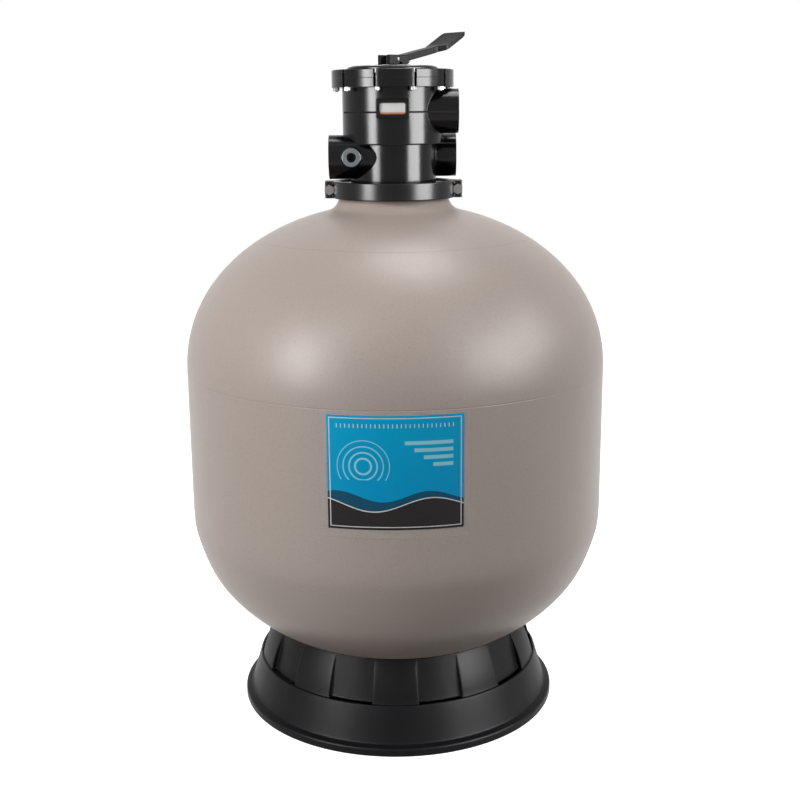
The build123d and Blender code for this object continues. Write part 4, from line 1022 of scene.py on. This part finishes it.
# %% Numbers and ticks on the dial
DIAL_RADIUS = 0.0462
DIGIT_TALL = 0.0135
INK_RISE = 0.0001
POSITIONS = 6
plate_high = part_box("position_plate")[1]
dial_marks = []
for position in range(POSITIONS):
    bearing = LEVER_BEARING + position * 2 * math.pi / POSITIONS
    deselect()
    bpy.ops.object.text_add()
    digit = bpy.context.object
    digit.data.body = str(position + 1)
    digit.data.size = DIGIT_TALL
    digit.data.align_x = "CENTER"
    digit.data.align_y = "CENTER"
    digit.data.extrude = INK_RISE / 2
    bpy.ops.object.convert(target="MESH")
    digit = bpy.context.object
    dial_height = plate_high[2] + INK_RISE / 2
    out = Matrix.Rotation(bearing, 4, "Z") @ Matrix.Translation((DIAL_RADIUS, 0, dial_height))
    digit.matrix_world = out @ Matrix.Rotation(-math.pi / 2, 4, "Z")
    bpy.ops.object.transform_apply(location=True, rotation=True, scale=True)
    dial_marks.append(digit)
    tick = block("tick", (-0.7, -4.5, -0.05), (0.7, 4.5, 0.05))
    between_two = Matrix.Rotation(bearing + math.pi / POSITIONS, 4, "Z")
    tick.matrix_world = (
        between_two @ Matrix.Translation((DIAL_RADIUS, 0, plate_high[2] + INK_RISE / 2))
        @ Matrix.Rotation(math.pi / 2, 4, "Z")
    )
    bpy.ops.object.transform_apply(location=True, rotation=True, scale=True)
    dial_marks.append(tick)
deselect()
for mark in dial_marks:
    mark.select_set(True)
bpy.context.view_layer.objects.active = dial_marks[0]
bpy.ops.object.join()
dial_print = bpy.context.object
dial_print.name = "dial_print"
dial_ink = pale_plastic("dial_ink", (0.66, 0.66, 0.64, 1), (0.40, 0.40, 0.39, 1), 0.5)
dial_print.data.materials.clear()
dial_print.data.materials.append(dial_ink)
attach(dial_print, BODY_OF["position_plate"])
print("dial:", POSITIONS, "numbers at radius", DIAL_RADIUS)

# %% [markdown]
# ## Threads in the ports
#
# The three ports and the gauge tapping are threaded inside. A thread is a small triangle
# carried round and along at a steady pitch, which is what the Screw modifier does. The
# triangle's foot stands a little inside the wall, so that no gap shows, and the two ends
# are closed.

# %% Screwed threads
THREAD_STEPS = 56


def thread(name, bore, crest, pitch, turns, axis, mouth):
    """An internal thread about an axis ('X', '-X' or '-Y' is the way out), starting at its mouth."""
    deselect()
    foot = bore + 0.0001
    tall = foot - crest
    bpy.ops.mesh.primitive_circle_add(
        vertices=3, radius=1, fill_type="NOTHING", location=(0, 0, 0), rotation=(0, 0, math.pi / 2)
    )
    piece = bpy.context.object
    piece.name = name
    # The triangle points to -X: its tip is the crest, its other two corners are the foot
    piece.data.transform(Matrix.Scale(tall / 1.5, 4, (1, 0, 0)) @ Matrix.Scale(pitch * 0.52, 4, (0, 1, 0)))
    tip = min(v.co.x for v in piece.data.vertices)
    piece.data.transform(Matrix.Translation((crest - tip, 0, 0)))
    piece.data.transform(Matrix.Rotation(math.pi / 2, 4, "X"))
    winding = piece.modifiers.new("winding", "SCREW")
    winding.axis = "Z"
    winding.screw_offset = pitch
    winding.iterations = turns
    winding.steps = THREAD_STEPS
    winding.render_steps = THREAD_STEPS
    bpy.ops.object.modifier_apply(modifier=winding.name)
    bpy.ops.object.mode_set(mode="EDIT")
    bpy.ops.mesh.select_all(action="SELECT")
    bpy.ops.mesh.fill_holes(sides=3)
    bpy.ops.mesh.normals_make_consistent(inside=False)
    bpy.ops.object.mode_set(mode="OBJECT")
    # The thread grows along +Z, which is turned to point into the port
    inward = {"X": Matrix.Rotation(-math.pi / 2, 4, "Y"), "-X": Matrix.Rotation(math.pi / 2, 4, "Y"),
              "-Y": Matrix.Rotation(-math.pi / 2, 4, "X")}[axis]
    piece.matrix_world = Matrix.Translation(mouth) @ inward @ Matrix.Translation((0, 0, pitch))
    bpy.ops.object.transform_apply(location=True, rotation=True, scale=True)
    bpy.ops.object.shade_smooth_by_angle(angle=SMOOTH_ANGLE)
    piece.data.materials.clear()
    piece.data.materials.append(valve_black)
    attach(piece, BODY_OF["valve_body"])
    print(name, len(piece.data.polygons), "faces, box", [round(v, 4) for v in piece.dimensions])
    return piece


PORT_BORE = 0.0239
PORT_CREST = 0.0226
PORT_PITCH = 0.0022
THREAD_TURNS = 7
thread("thread_left", PORT_BORE, PORT_CREST, PORT_PITCH, THREAD_TURNS, "-X", (-0.0900, -0.026, 0.8145))
thread("thread_upper_right", PORT_BORE, PORT_CREST, PORT_PITCH, THREAD_TURNS, "X", (0.0915, -0.023, 0.8765))
thread("thread_lower_right", PORT_BORE, PORT_CREST, PORT_PITCH, THREAD_TURNS, "X", (0.0900, 0.023, 0.8150))
thread("thread_gauge", 0.0066, 0.0060, 0.0013, THREAD_TURNS, "-Y", (-0.058, -0.0635, 0.8150))

# %% [markdown]
# ## Flags for the strips
#
# The two strips are bright, because a black gloss returns only a fiftieth of what falls on
# it. On the satin tank they would burn out at a low angle. A photographer puts a black
# flag between the strip and the tank. Light linking does the same here: it keeps the two
# strips off the tank and its label, and leaves them on everything else.

# %% Keep the strips off the tank
flagged = bpy.data.collections.new("flagged")
for shaded in (nodes["tank_shell"], label_print, label_carrier):
    flagged.objects.link(shaded)
for entry in flagged.collection_objects:
    entry.light_linking.link_state = "EXCLUDE"
for strip in valve_strips:
    strip.light_linking.receiver_collection = flagged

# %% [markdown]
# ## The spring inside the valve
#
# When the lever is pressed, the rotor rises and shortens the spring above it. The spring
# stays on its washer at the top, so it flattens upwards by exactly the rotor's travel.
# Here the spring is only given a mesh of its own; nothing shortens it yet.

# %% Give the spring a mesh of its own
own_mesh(nodes["rotor_spring"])
